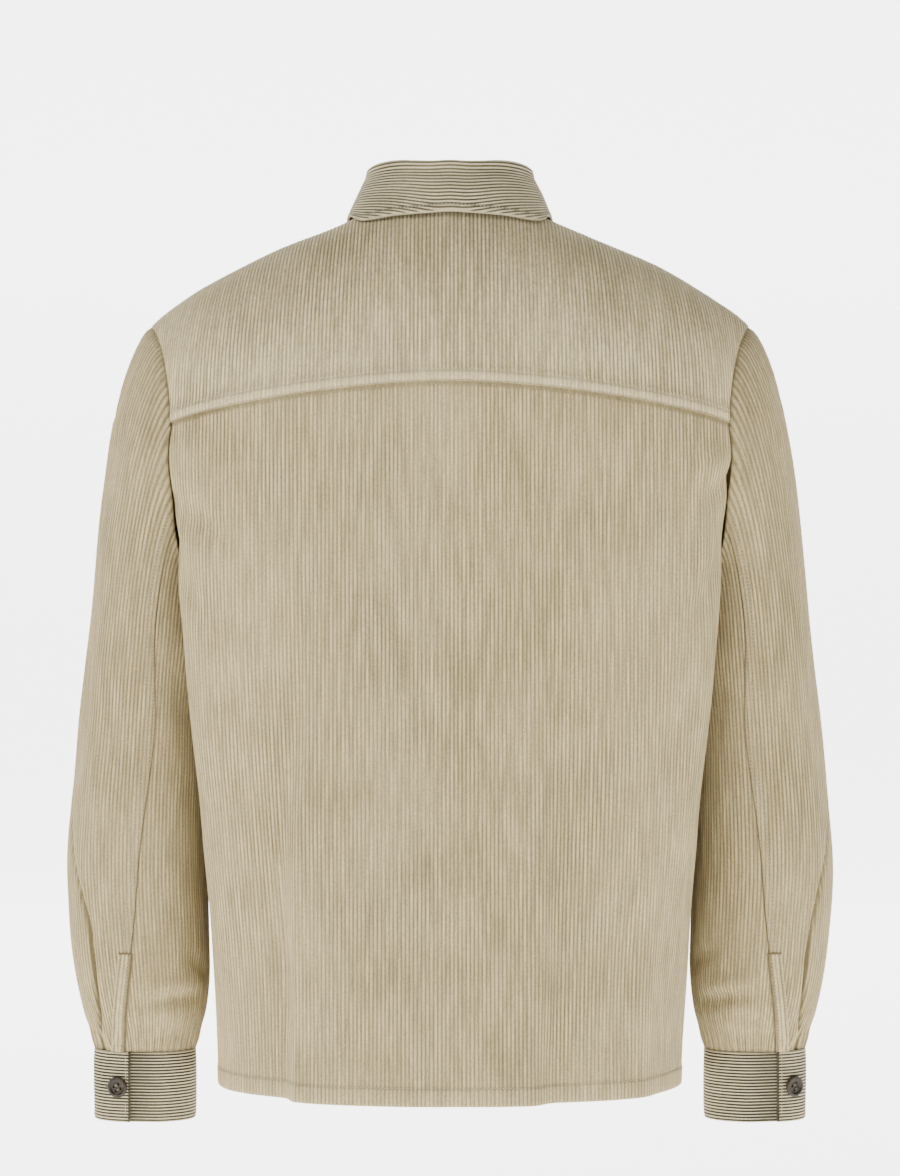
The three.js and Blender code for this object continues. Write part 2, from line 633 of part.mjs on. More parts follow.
// The left sleeve's grid: columns run round from the seam over the inside, the front, the outside
// and the back to the seam again; rows run down from the armhole.
function sleeveGrid() {
  const loop = armhole(1);
  const shares = armholeShares(loop);
  const count = loop.length - 1;
  const start = shares[SLEEVE_SEAM_START];
  const columns = [];
  for (let k = 0; k <= count; k++) {
    const i = (SLEEVE_SEAM_START + k) % count;
    const wrapped = k > 0 && shares[i] > start - 1e-9 ? 1 : 0;
    columns.push({ point: loop[i], share: shares[i] - wrapped });
  }
  columns.reverse();
  const grid = [];
  for (const v of spread(0, 1, CAP_ROWS).slice(0, -1))
    grid.push(columns.map(({ point, share }) => capPoint(point, share, v)));
  for (const z of SLEEVE_ROWS) {
    const shift = (seamShare(z) - start) * smooth(SLEEVE_ROWS[0], SLEEVE_ROWS[0] - SEAM_SETTLE, z);
    grid.push(columns.map(({ share }) => sleevePoint(share + shift, z)));
  }
  return grid;
}

// The sleeve's cap: a curve that leaves the armhole outwards and comes down on the first section
function capPoint(from, share, v) {
  const to = sleevePoint(share, SLEEVE_ROWS[0]);
  const reach = to.distanceTo(from);
  const outside = Math.cos(share * 2 * Math.PI);
  const leave = new THREE.Vector3(CAP.outward + CAP.fuller * outside, 0, -CAP.down);
  leave.setLength(reach * CAP.leave);
  const arrive = new THREE.Vector3(CAP.inward, 0, -1).setLength(reach * CAP.arrive);
  const v2 = v * v;
  const v3 = v2 * v;
  return from
    .clone()
    .multiplyScalar(2 * v3 - 3 * v2 + 1)
    .addScaledVector(leave, v3 - 2 * v2 + v)
    .addScaledVector(to, 3 * v2 - 2 * v3)
    .addScaledVector(arrive, v3 - v2);
}

// The binding of the sleeve's vent lies on the sleeve, from its points moved out.
function ventGrid() {
  const rows = [VENT.top, ...SLEEVE_ROWS.filter((z) => z < VENT.top)];
  return rows.map((z) => {
    const girth = ringPoint(sleeveRow(z), SLEEVE_SQUARE, 0, z).girth;
    const edges = [-VENT.outside, -VENT.outside / 2, 0, VENT.inside];
    return edges.map((d) => sleevePoint(seamShare(z) + d / girth, z));
  });
}

// The left cuff: a strip that starts at the end of its upper layer, runs round the inside last
// and goes on under where it started.
function cuffGrid(end) {
  const rows = [CUFF.top, lerp(CUFF.top, CUFF.bottom, 0.5), CUFF.bottom];
  return rows.map((z) => {
    const girth = ringPoint(CUFF, CUFF.square, 0, z).girth;
    const under = CUFF_UNDER.length / girth;
    const columns = spread(end, end - 1 - under, CUFF_COLUMNS);
    const line = columns.map((share) => {
      const { point, out } = ringPoint(CUFF, CUFF.square, share, z);
      const past = (share - end + 1) / under;
      const sunk = 1 - smooth(CUFF_UNDER.full, CUFF_UNDER.from, past);
      return point.addScaledVector(out, -(CUFF.thick + 2 * SEAM_GAP) * sunk);
    });
    return line.reverse();
  });
}

const mirrored = (grid) => grid.map((row) => [...row].reverse().map((p) => new THREE.Vector3(-p.x, p.y, p.z)));

// The neck edge from the left front's end round the back to the right front's end, with the
// level direction out of the neck at each point
function neckLine(left, right, yoke) {
  const inFront = LAP_COLUMNS.length + FRONT_COLUMNS.indexOf(NECK_SHARE);
  const points = [
    ...left[0].slice(0, inFront),
    ...yoke[0].filter((_, i) => Math.abs(BACK_COLUMNS[i]) < NECK_SHARE + 0.001),
    ...right[0].slice(-inFront),
  ];
  return points.map((point, i) => {
    const before = points[Math.max(i - 1, 0)];
    const after = points[Math.min(i + 1, points.length - 1)];
    const out = new THREE.Vector3(before.y - after.y, after.x - before.x, 0).normalize();
    return { point, out: out.negate() };
  });
}

// The stand's outer face at a share of its height
const standPoint = ({ point, out }, share) =>
  point
    .clone()
    .addScaledVector(out, -STAND.inset - STAND.lean * share)
    .setZ(point.z - STAND.sink + STAND.height * share);

function collarGrid(neck) {
  // The collar's ends start a little beside the middle of the front.
  const skipped = LAP_COLUMNS.length + 1;
  const line = neck.slice(skipped, -skipped);
  const run = runOf(line.map(({ point }) => point));
  const half = run[run.length - 1] / 2;
  const rows = Array.from({ length: COLLAR_ROLL.length + 3 }, () => []);
  line.forEach((place, i) => {
    const t = Math.abs(run[i] - half) / half;
    const side = run[i] < half ? 1 : -1;
    const top = standPoint(place, 1);
    COLLAR_ROLL.forEach(({ out, up }, j) =>
      rows[j].push(top.clone().addScaledVector(place.out, out).add(new THREE.Vector3(0, 0, up))),
    );
    const [girth, angle, lift] = ["girth", "angle", "lift"].map((n) => column(COLLAR, "t", n, t));
    const edge = overShoulder(side * girth, angle);
    const ahead = overShoulder(side * girth, angle + 1).sub(overShoulder(side * girth, angle - 1));
    const aside = overShoulder(side * (girth + 1), angle).sub(overShoulder(side * (girth - 1), angle));
    edge.addScaledVector(aside.cross(ahead).normalize(), side * -(lift + COLLAR_THICK));
    const start = rows[COLLAR_ROLL.length - 1][i];
    for (const [j, share] of [[0, 1 / 3], [1, 2 / 3], [2, 1]]) {
      const bulge = COLLAR_BULGE * Math.sin(Math.PI * share);
      rows[COLLAR_ROLL.length + j].push(start.clone().lerp(edge, share).addScaledVector(place.out, bulge));
    }
  });
  return rows;
}

// A button: a dish with a raised rim and four holes, its base at the origin, its face up
function buttonSolid(radius) {
  const { thick, rim, well, hole, spread: holes, facets } = BUTTON;
  const profile = [
    [0, 0],
    [radius - 0.8, 0],
    [radius, thick / 2],
    [radius - rim / 2, thick],
    [radius - rim, thick],
    [radius - rim - 1, thick - well],
    [0, thick - well],
  ];
  const outline = wasm.CrossSection.ofPolygons([profile]);
  let solid = outline.revolve(facets);
  for (const angle of [45, 135, 225, 315]) {
    const drill = wasm.Manifold.cylinder(thick * 3, hole, hole, 5, true);
    const x = holes * Math.cos(radians(angle));
    const y = holes * Math.sin(radians(angle));
    solid = solid.subtract(drill.translate([x, y, 0]));
  }
  const mesh = solid.getMesh();
  const geometry = new THREE.BufferGeometry();
  geometry.setAttribute("position", new THREE.Float32BufferAttribute(mesh.vertProperties, 3));
  geometry.setIndex([...mesh.triVerts]);
  return geometry;
}

// Materials
const CORD_COLOUR = 0xb9ae93;
const HORN_COLOUR = 0x3a3122;
const corduroy = () => new THREE.MeshStandardMaterial({ color: CORD_COLOUR, roughness: 0.95, metalness: 0 });
const horn = () => new THREE.MeshStandardMaterial({ color: HORN_COLOUR, roughness: 0.45, metalness: 0 });

const shacket = new THREE.Group();
shacket.name = "shacket";
function add(name, geometry, material = corduroy()) {
  const mesh = new THREE.Mesh(geometry, material);
  mesh.name = name;
  shacket.add(mesh);
  return mesh;
}
function addButton(name, at, out, radius = BUTTON.radius) {
  const mesh = add(name, buttonSolid(radius), horn());
  const turn = new THREE.Quaternion().setFromUnitVectors(new THREE.Vector3(0, 0, 1), out);
  mesh.geometry.applyQuaternion(turn);
  const base = at.clone().addScaledVector(out, BUTTON_LIFT);
  mesh.geometry.translate(base.x, base.y, base.z);
}

const back = backGrid();
const yoke = yokeGrid();
const frontLeft = frontGrid(1, true);
const frontRight = frontGrid(-1, false);
for (const grid of [back, yoke, frontLeft, frontRight]) noteMeeting(grid);
for (const side of [1, -1]) noteArmhole(side);
const neck = neckLine(frontLeft, frontRight, yoke);
for (const { point } of neck) meeting.set(placeName(point), { out: new THREE.Vector3(0, 0, 1) });

const half = SEAM_GAP / 2;
const bodyTrim = { top: half, left: half, right: half, armhole: -half };
const hem = (grid) => (j) => (j >= grid.length - 2 ? HEM_RAISE : 0);
add("back_panel", wall(back, { raise: hem(back), trim: bodyTrim }));
const lapped = (j) => (j === yoke.length - 1 ? YOKE_LAP : 0);
add("yoke", wall(yoke, { raise: lapped, trim: { ...bodyTrim, bottom: half } }));
add("front_left", wall(frontLeft, { raise: hem(frontLeft), trim: bodyTrim }));
add("front_right", wall(frontRight, { raise: hem(frontRight), trim: bodyTrim }));

const sleeve = sleeveGrid();
const sleeveTrim = { left: half, right: half, armhole: half };
add("sleeve_left", wall(sleeve, { trim: sleeveTrim }));
add("sleeve_right", wall(mirrored(sleeve), { trim: sleeveTrim }));
const onTop = { thick: -VENT.lift, raise: () => VENT.lift + VENT.thick };
add("sleeve_placket_left", wall(ventGrid(), onTop));
add("sleeve_placket_right", wall(mirrored(ventGrid()), onTop));
add("cuff_left", wall(cuffGrid(CUFF_END.left), { thick: CUFF.thick }));
add("cuff_right", wall(mirrored(cuffGrid(CUFF_END.right)), { thick: CUFF.thick }));

const standLine = neck.slice(1, -1);
const stand = [1, 0.5, 0].map((share) => standLine.map((place) => standPoint(place, share)));
add("collar_stand", wall(stand, { thick: STAND.thick }));
add("collar", wall(collarGrid(neck), { thick: COLLAR_THICK }));

// Buttons
for (let n = 0; n < FRONT_BUTTONS.count; n++) {
  const z = FRONT_BUTTONS.first - FRONT_BUTTONS.pitch * n;
  const at = z > CHEST ? shoulder(-1, 0, angleAtHeight(-1, 0, z)) : upright(-1, 0, z);
  const below = z > CHEST ? shoulder(-1, 0, angleAtHeight(-1, 0, z - 1)) : upright(-1, 0, z - 1);
  const out = new THREE.Vector3(0, below.z - at.z, at.y - below.y).normalize();
  addButton(`button_front_${n + 1}`, at.addScaledVector(out, LAP_RAISE), out);
}
const collarMiddle = standPoint(neck[LAP_COLUMNS.length], 0.5);
const standOut = new THREE.Vector3(0, -STAND.height, STAND.lean).normalize();
addButton("button_collar", collarMiddle, standOut, COLLAR_BUTTON_RADIUS);
for (const [side, name] of [[1, "left"], [-1, "right"]]) {
  const z = (CUFF.top + CUFF.bottom) / 2;
  const { girth } = ringPoint(CUFF, CUFF.square, 0, z);
  const { point, out } = ringPoint(CUFF, CUFF.square, CUFF_END[name] - CUFF_BUTTON[name] / girth, z);
  const flip = new THREE.Vector3(side, 1, 1);
  addButton(`button_cuff_${name}`, point.multiply(flip), out.multiply(flip));
}

export default shacket;
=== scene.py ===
"""A corduroy overshirt, hollow and filled out as if worn, seen from behind.

The row frame is used throughout: the front faces -Y, the wearer's left is +X and the origin is
the middle of the neck opening. Shapes are worked out in millimetres and stored in metres.

A place on the trunk is a girth, the distance round the cloth from the middle of the back or of
the front (positive on the wearer's left), and a drop. From 0 upwards the drop is an angle in
degrees over the shoulder, where 0 is the chest and 90 the ridge; below 0 it is how many
millimetres the place lies under the chest. The ribs of the corduroy follow lines of equal girth.
"""

import math

import bmesh
import bpy
import numpy as np
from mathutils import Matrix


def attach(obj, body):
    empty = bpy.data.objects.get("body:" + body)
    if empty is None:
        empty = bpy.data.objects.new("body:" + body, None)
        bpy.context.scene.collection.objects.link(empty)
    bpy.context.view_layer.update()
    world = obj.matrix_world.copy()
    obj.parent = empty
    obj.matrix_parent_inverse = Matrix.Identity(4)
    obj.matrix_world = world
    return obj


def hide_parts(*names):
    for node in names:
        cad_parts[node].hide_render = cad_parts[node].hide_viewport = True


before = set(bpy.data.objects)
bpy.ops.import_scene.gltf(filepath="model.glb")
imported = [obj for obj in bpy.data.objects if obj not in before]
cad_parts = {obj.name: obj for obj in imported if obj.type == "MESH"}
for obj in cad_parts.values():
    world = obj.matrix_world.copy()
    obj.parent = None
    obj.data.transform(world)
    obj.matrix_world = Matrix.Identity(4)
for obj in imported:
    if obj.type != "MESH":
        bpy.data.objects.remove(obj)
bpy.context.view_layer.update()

rng = np.random.default_rng(8)


def table(names, rows):
    """Named columns of numbers, with the first column rising."""
    values = np.array(rows, float)
    if values[0, 0] > values[-1, 0]:
        values = values[::-1]
    return dict(zip(names.split(), values.T))


# Sizes in millimetres
CLOTH = 2.0
CHEST = -186.0
UNDERARM = -330.0
HEM = -739.0
HEM_DEPTH = 15.0
ARMHOLE_MIDDLE, ARMHOLE_BACK, ARMHOLE_FRONT, ARMHOLE_ROUND = -12.0, 64.0, -76.0, 2.3
SHOULDER_TIP, SHOULDER_SEAM = 284.0, -12.0
YOKE_MIDDLE, YOKE_DROP = -149.0, 32.0
LAP, LAP_RAISE = 17.0, 3.2
WALE = 3.3
CUFF_WALE = 2.65
WALE_STEPS = 4
SLEEVE_WALES = 112

TRUNK = table(
    "z half back front square dent",
    [
        (-120, 254, 111, 112, 2.9, 0),
        (-186, 251, 112, 115, 2.9, 0),
        (-245, 233, 112, 119, 3.0, 48),
        (-300, 228, 112, 121, 3.1, 66),
        (-350, 224, 113, 121, 3.1, 62),
        (-400, 220, 115, 121, 3.0, 48),
        (-450, 215, 118, 121, 2.85, 32),
        (-500, 210, 122, 122, 2.7, 19),
        (-560, 206, 127, 123, 2.55, 10),
        (-620, 202, 132, 125, 2.45, 4),
        (-680, 199, 136, 127, 2.4, 0),
        (-760, 196, 141, 130, 2.35, 0),
    ],
)
DENT_MIDDLE, DENT_REACH = -12.0, 52.0
RIDGE = table(
    "x z",
    [(0, 22), (40, 14), (72, 1), (93, -8.5), (145, -30), (189, -51), (227, -73), (256, -96), (274, -124)],
)
RIDGE_Y = -4.0
ARCH = {1: 2.3, -1: 1.95}
NECK = {"half": 72.0, "middle": -12.0, 1: 70.0, -1: 84.0}
NECK_SHARE = 0.265

# Soft creases: face, side, girth at the hem, drift towards the middle at the top, rise, fall,
# depth, height of the start, height of the full depth
CREASES = [
    (1, 1, 128, 34, 22, 92, 13, -200, -640),
    (1, -1, 66, 4, 24, 104, 11, -330, -700),
    (1, -1, 168, 10, 30, 60, 5, -420, -700),
    (-1, 1, 96, 20, 26, 90, 9, -260, -680),
    (-1, -1, 118, 26, 24, 84, 10, -250, -660),
]

SLEEVE = table(
    "z cx cy a b",
    [
        (-345, 256.5, -12, 51.5, 62),
        (-400, 261, -14, 53.5, 61),
        (-450, 264.5, -16, 55.5, 60),
        (-505, 267.8, -18, 57.8, 59),
        (-560, 269.2, -20, 59.7, 57.5),
        (-610, 267.2, -22, 59.6, 55.5),
        (-650, 264.8, -24, 57.6, 52),
        (-682, 263.4, -25, 52.6, 44),
        (-702, 263, -26, 46.6, 35),
        (-714.7, 263.1, -26, 43.5, 30.7),
    ],
)
SLEEVE_TOP, SLEEVE_END = -345.0, -714.4
SLEEVE_SQUARE, CUFF_SQUARE = 2.15, 2.1
SEAM_LINE = table(
    "z share",
    [
        (-345, 0.295),
        (-410, 0.295),
        (-470, 0.288),
        (-520, 0.275),
        (-580, 0.26),
        (-627, 0.24),
        (-670, 0.215),
        (-715, 0.182),
    ],
)
SEAM_SETTLE = 110.0
# The pleat that runs into the cuff: where it is round the sleeve, how deep its crease is and how
# far the strip outside it is pressed in
PLEAT = table(
    "z share crease press",
    [
        (-480, 0.03, 0, 0),
        (-532, 0.074, 2.5, 0.5),
        (-583, 0.122, 6.0, 2.0),
        (-634, 0.138, 7.5, 3.0),
        (-675, 0.13, 8.5, 3.0),
        (-700, 0.112, 8.5, 2.5),
        (-715, 0.104, 3.0, 0.8),
    ],
)
PLEAT_WIDTH, PLEAT_STRIP = 2.6, 30.0
VENT_TOP = -627.0
CUFF = {"cx": 263.1, "cy": -26.0, "a": 43.8, "b": 31.0}
CUFF_TOP, CUFF_BOTTOM, CUFF_THICK, CUFF_UNDER = -715.0, -775.0, 2.8, 26.0
CUFF_END = {1: 0.206, -1: 0.178}
CUFF_BUTTON = {1: 10.0, -1: 15.0}

COLLAR = table(
    "t girth angle lift",
    [
        (0.0, 0, 56, 3.9),
        (0.2, 42, 59, 3.6),
        (0.36, 77, 67, 1.6),
        (0.5, 89, 83, 1.3),
        (0.64, 94, 113, 3.0),
        (0.82, 88, 138, 4.8),
        (1.0, 60, 150, 5),
    ],
)
COLLAR_ROLL = np.array([(-2.4, 1.1), (-1.9, 3.6), (1.4, 6.4), (4.6, 4.4), (5.8, -1)], float)
COLLAR_THICK, COLLAR_BULGE, COLLAR_CROWN = 2.4, 2.5, 3.6
STAND = {"height": 32.0, "lean": 4.0, "thick": 2.4, "inset": 0.35, "sink": 1.0}
FRONT_BUTTONS = [-118.0 - 98.0 * n for n in range(6)]


def smooth(a, b, x):
    """0 up to a, 1 from b on, and a smooth step between them."""
    k = np.clip((np.asarray(x, float) - a) / (b - a), 0, 1)
    return k * k * (3 - 2 * k)


def curve(rows, key, name, value):
    """The smooth curve through a table's rows: a cubic between each two, whose slope at a row is
    that of the line between its neighbours."""
    x, y = rows[key], rows[name]
    value = np.asarray(value, float)
    slope = np.empty_like(y)
    slope[1:-1] = (y[2:] - y[:-2]) / (x[2:] - x[:-2])
    slope[0] = (y[1] - y[0]) / (x[1] - x[0])
    slope[-1] = (y[-1] - y[-2]) / (x[-1] - x[-2])
    i = np.clip(np.searchsorted(x, value) - 1, 0, len(x) - 2)
    span = x[i + 1] - x[i]
    k = np.clip((value - x[i]) / span, 0, 1)
    k2, k3 = k * k, k * k * k
    return (
        (2 * k3 - 3 * k2 + 1) * y[i]
        + (k3 - 2 * k2 + k) * span * slope[i]
        + (3 * k2 - 2 * k3) * y[i + 1]
        + (k3 - k2) * span * slope[i + 1]
    )


def run_of(points):
    """Distance run along each line of points; lines lie along the last axis but one."""
    steps = np.linalg.norm(np.diff(points, axis=-2), axis=-1)
    start = np.zeros(steps.shape[:-1] + (1,))
    return np.concatenate([start, np.cumsum(steps, axis=-1)], axis=-1)


def unit(v):
    return v / np.maximum(np.linalg.norm(v, axis=-1, keepdims=True), 1e-9)


# The trunk as tables of x and y by side, face, height and girth
HEIGHTS = np.arange(-120.0, -762.0, -2.0)
GIRTH_STEP, GIRTH_COUNT = 1.0, 420
SECTION_STEPS = 240


def trunk_sections(side):
    """Half sections of the trunk, one a height, from the middle of the back to the middle of the
    front: half of a superellipse, pressed in at the side by a bell curve, and moved in along its
    normal at each crease, which steps in over its rise and comes out again over its fall."""
    half, back, front, square, dent = (
        curve(TRUNK, "z", n, HEIGHTS)[:, None] for n in ("half", "back", "front", "square", "dent")
    )
    angle = math.pi / 2 - math.pi * np.arange(SECTION_STEPS + 1) / SECTION_STEPS
    across = np.abs(np.cos(angle)) ** (2 / square)
    along = np.sign(np.sin(angle)) * np.abs(np.sin(angle)) ** (2 / square)
    y = along * np.where(along > 0, back, front)
    pressed = dent * np.exp(-(((y - DENT_MIDDLE) / DENT_REACH) ** 2))
    reach = half.copy()
    for _ in range(3):
        reach += half - np.max(reach * across - pressed, axis=1, keepdims=True)
    x = reach * across - pressed
    x[:, 0] = 0
    x[:, -1] = 0
    points = np.stack([x, y], axis=-1)
    run = run_of(points)
    total = run[:, -1:]
    slope = np.gradient(points, axis=1)
    out = unit(np.stack([-slope[..., 1], slope[..., 0]], axis=-1))
    move = np.zeros_like(run)
    for face, crease_side, girth, drift, rise, fall, depth, top, full in CREASES:
        if crease_side != side:
            continue
        from_middle = run if face > 0 else total - run
        grown = smooth(-top, -full, -HEIGHTS)[:, None]
        past = from_middle - girth + drift * (1 - grown)
        move -= depth * grown * smooth(0, rise, past) * (1 - smooth(rise, rise + fall, past))
    points = points + out * move[..., None]
    return points, run_of(points)


TRUNK_XY = np.zeros((2, 2, len(HEIGHTS), GIRTH_COUNT, 2))
SIDE_GIRTH = {}
for side_index, side in enumerate((1, -1)):
    section_points, section_run = trunk_sections(side)
    girths = np.arange(GIRTH_COUNT) * GIRTH_STEP
    for row in range(len(HEIGHTS)):
        whole = section_run[row, -1]
        for face_index, wanted in enumerate((girths, whole - girths)):
            for axis in range(2):
                TRUNK_XY[side_index, face_index, row, :, axis] = np.interp(
                    wanted, section_run[row], section_points[row, :, axis]
                )


def upright(face, girth, z):
    """A point of the upright trunk, between the nearest four of the tables."""
    girth, z = np.broadcast_arrays(np.asarray(girth, float), np.asarray(z, float))
    side_index = (girth < 0).astype(int)
    face_index = 0 if face > 0 else 1
    column_at = np.clip(np.abs(girth) / GIRTH_STEP, 0, GIRTH_COUNT - 1.001)
    row_at = np.clip((HEIGHTS[0] - z) / 2.0, 0, len(HEIGHTS) - 1.001)
    i, j = column_at.astype(int), row_at.astype(int)
    ki, kj = (column_at - i)[..., None], (row_at - j)[..., None]
    xy = (1 - kj) * (
        (1 - ki) * TRUNK_XY[side_index, face_index, j, i] + ki * TRUNK_XY[side_index, face_index, j, i + 1]
    ) + kj * (
        (1 - ki) * TRUNK_XY[side_index, face_index, j + 1, i]
        + ki * TRUNK_XY[side_index, face_index, j + 1, i + 1]
    )
    x = np.where(girth < 0, -xy[..., 0], xy[..., 0])
    return np.stack([x, xy[..., 1], z], axis=-1)


def edge_depth(face, z):
    """y of the armhole's edge, or of the side seam below it."""
    wide = (ARMHOLE_BACK if face > 0 else ARMHOLE_FRONT) - ARMHOLE_MIDDLE
    down = np.clip((CHEST - z) / (CHEST - UNDERARM), 0, 1)
    return ARMHOLE_MIDDLE + wide * (1 - down**ARMHOLE_ROUND) ** (1 / ARMHOLE_ROUND)


def edge_table(face, side):
    """The girth at which each height's section reaches the armhole or the side seam."""
    z = HEIGHTS[HEIGHTS <= CHEST + 0.01]
    girth = np.arange(150, GIRTH_COUNT - 2, 0.5)
    y = upright(face, side * girth[None, :], z[:, None])[..., 1]
    depth = edge_depth(face, z)[:, None]
    past = (y < depth) if face > 0 else (y > depth)
    first = np.maximum(np.argmax(past, axis=1), 1)
    rows = np.arange(len(z))
    y0, y1 = y[rows, first - 1], y[rows, first]
    return z, girth[first - 1] + 0.5 * (depth[:, 0] - y0) / (y1 - y0)


EDGES = {(face, side): edge_table(face, side) for face in (1, -1) for side in (1, -1)}
REACH = {key: value[1][0] for key, value in EDGES.items()}


def shoulder_edge(side_reach, angle):
    return side_reach + (SHOULDER_TIP - side_reach) * np.clip(np.sin(np.radians(angle)), 0, 1) ** 1.35


def edge_girth(face, side, drop):
    """How far round the armhole's edge is, or the side seam, at a drop."""
    drop = np.asarray(drop, float)
    z, girth = EDGES[face, side]
    below = np.interp(-(CHEST + np.minimum(drop, 0)), -z, girth)
    return np.where(drop > 0, shoulder_edge(REACH[face, side], drop), below)


def chest_point(face, girth):
    side = np.where(girth < 0, -1, 1)
    reach = np.where(girth < 0, REACH[face, -1], REACH[face, 1])
    inside = np.minimum(np.abs(girth), reach)
    last = upright(face, side * inside, CHEST)
    before = upright(face, side * (reach - 4), CHEST)
    ahead = unit(upright(face, side * reach, CHEST) - before)
    return last + ahead * (np.maximum(np.abs(girth) - reach, 0) * 0.8)[..., None]


RIDGE_X = np.arange(0, 275, 1.0)
RIDGE_LINE = np.stack([RIDGE_X, curve(RIDGE, "x", "z", RIDGE_X)], axis=-1)
RIDGE_RUN = run_of(RIDGE_LINE)


def shoulder(face, girth, angle):
    """Over the shoulder the cloth follows an arch: y shrinks with a power of the angle's cosine
    and z rises with the same power of its sine, up to the line of the ridge."""
    girth, angle = np.broadcast_arrays(np.asarray(girth, float), np.asarray(angle, float))
    start = chest_point(face, girth)
    side = np.where(girth < 0, -1, 1)
    top_x = np.interp(np.abs(girth), RIDGE_RUN, RIDGE_LINE[:, 0])
    top_z = np.interp(np.abs(girth), RIDGE_RUN, RIDGE_LINE[:, 1])
    power = 2 / ARCH[face]
    rise = np.clip(np.sin(np.radians(angle)), 0, 1)
    level = np.clip(np.cos(np.radians(angle)), 0, 1)
    x = start[..., 0] + (side * top_x - start[..., 0]) * rise**2.4
    y = RIDGE_Y + (start[..., 1] - RIDGE_Y) * level**power
    return np.stack([x, y, CHEST + (top_z - CHEST) * rise**power], axis=-1)


def over_shoulder(girth, angle):
    """The same by one angle from 0 at the back of the chest over the ridge to 180 in front."""
    girth, angle = np.broadcast_arrays(np.asarray(girth, float), np.asarray(angle, float))
    return np.where((angle <= 90)[..., None], shoulder(1, girth, angle), shoulder(-1, girth, 180 - angle))


def trunk(face, girth, drop):
    girth, drop = np.broadcast_arrays(np.asarray(girth, float), np.asarray(drop, float))
    low = upright(face, girth, CHEST + np.minimum(drop, 0))
    return np.where((drop > 0)[..., None], shoulder(face, girth, np.maximum(drop, 0)), low)


def angle_at_height(face, girth, z):
    top = np.interp(np.abs(girth), RIDGE_RUN, RIDGE_LINE[:, 1])
    share = np.clip((z - CHEST) / (top - CHEST), 0, 1)
    return np.degrees(np.arcsin(share ** (ARCH[face] / 2)))


def angle_at_depth(face, girth, y):
    start = chest_point(face, np.asarray(girth, float))[..., 1]
    share = np.clip((y - RIDGE_Y) / (start - RIDGE_Y), 0, 1)
    return np.degrees(np.arccos(share ** (ARCH[face] / 2)))


def neck_angle(face, girth):
    """The angle at which a line of cloth meets the neck seam, an ellipse seen from above."""
    girth = np.asarray(girth, float)
    low = np.zeros_like(girth)
    high = np.full_like(girth, 90.0) if face > 0 else angle_at_depth(-1, girth, SHOULDER_SEAM)
    for _ in range(40):
        middle = (low + high) / 2
        p = shoulder(face, girth, middle)
        outside = (p[..., 0] / NECK["half"]) ** 2 + ((p[..., 1] - NECK["middle"]) / NECK[face]) ** 2 > 1
        low = np.where(outside, middle, low)
        high = np.where(outside, high, middle)
    return low


def seam_tables(side):
    """The yoke's lower seam and the seams at its top, as angles by girth."""
    u = np.linspace(0, 1, 801)
    low = angle_at_height(1, u * REACH[1, side], YOKE_MIDDLE - YOKE_DROP * u**1.7)
    girth = u * SHOULDER_TIP
    front = np.where(u < NECK_SHARE - 0.001, neck_angle(-1, girth), angle_at_depth(-1, girth, SHOULDER_SEAM))
    back = np.where(u < NECK_SHARE - 0.001, neck_angle(1, girth), 180 - front)
    return {
        "low": (u * shoulder_edge(REACH[1, side], low), low),
        "back": (u * shoulder_edge(REACH[1, side], back), back),
        "front": (u * shoulder_edge(REACH[1, side], 180 - front), front),
    }


SEAMS = {side: seam_tables(side) for side in (1, -1)}


def seam_angle(name, girth):
    left = np.interp(np.abs(girth), *SEAMS[1][name])
    right = np.interp(np.abs(girth), *SEAMS[-1][name])
    return np.where(girth < 0, right, left)


def rows_along(place, low, high, near_low, near_high, between):
    """Rows of a grid as values of its second coordinate: some at set distances from the low end
    and from the high end, measured along the cloth, and the rest evenly spaced between them."""
    share = np.linspace(0, 1, 121)[:, None]
    sampled = low + (high - low) * share
    run = run_of(np.swapaxes(place(sampled), 0, 1))
    wanted = np.empty((len(near_low) + between + len(near_high), run.shape[0]))
    length = run[:, -1]
    first, last = near_low[-1], length - near_high[-1]
    wanted[: len(near_low)] = np.array(near_low)[:, None]
    middle = (np.arange(1, between + 1) / (between + 1))[:, None]
    wanted[len(near_low) : len(near_low) + between] = first + (last - first) * middle
    wanted[len(near_low) + between :] = length - np.array(near_high[::-1])[:, None]
    wanted = np.clip(wanted, 0, length)
    result = np.empty_like(wanted)
    for column in range(run.shape[0]):
        result[:, column] = np.interp(wanted[:, column], run[column], sampled[:, column])
    return result, wanted, length


def normals(place, first, second, first_step=0.5, second_step=0.5):
    """The outward direction: the cross product of the steps along both coordinates."""
    along = place(first + first_step, second) - place(first - first_step, second)
    up = place(first, second + second_step) - place(first, second - second_step)
    return unit(np.cross(up, along))


# Ribs
def wale(phase, sharp=0.75):
    """A rounded rib with a narrow groove: the size of a half sine wave, to a power."""
    return np.abs(np.sin(np.pi * phase)) ** sharp


def uneven(phase, along):
    """How full each rib is here and there, 0.72 to 1: every rib has its own slow wave along it."""
    own = np.sin(np.floor(phase) * 12.9898 + 4.1) * 43758.5453
    own = own - np.floor(own)
    return 0.86 + 0.14 * np.sin(along / (9 + 14 * own) + 40 * own)


def rib_columns(low, high, pitch):
    return np.arange(math.floor(low / pitch), math.ceil(high / pitch) + 1) * pitch


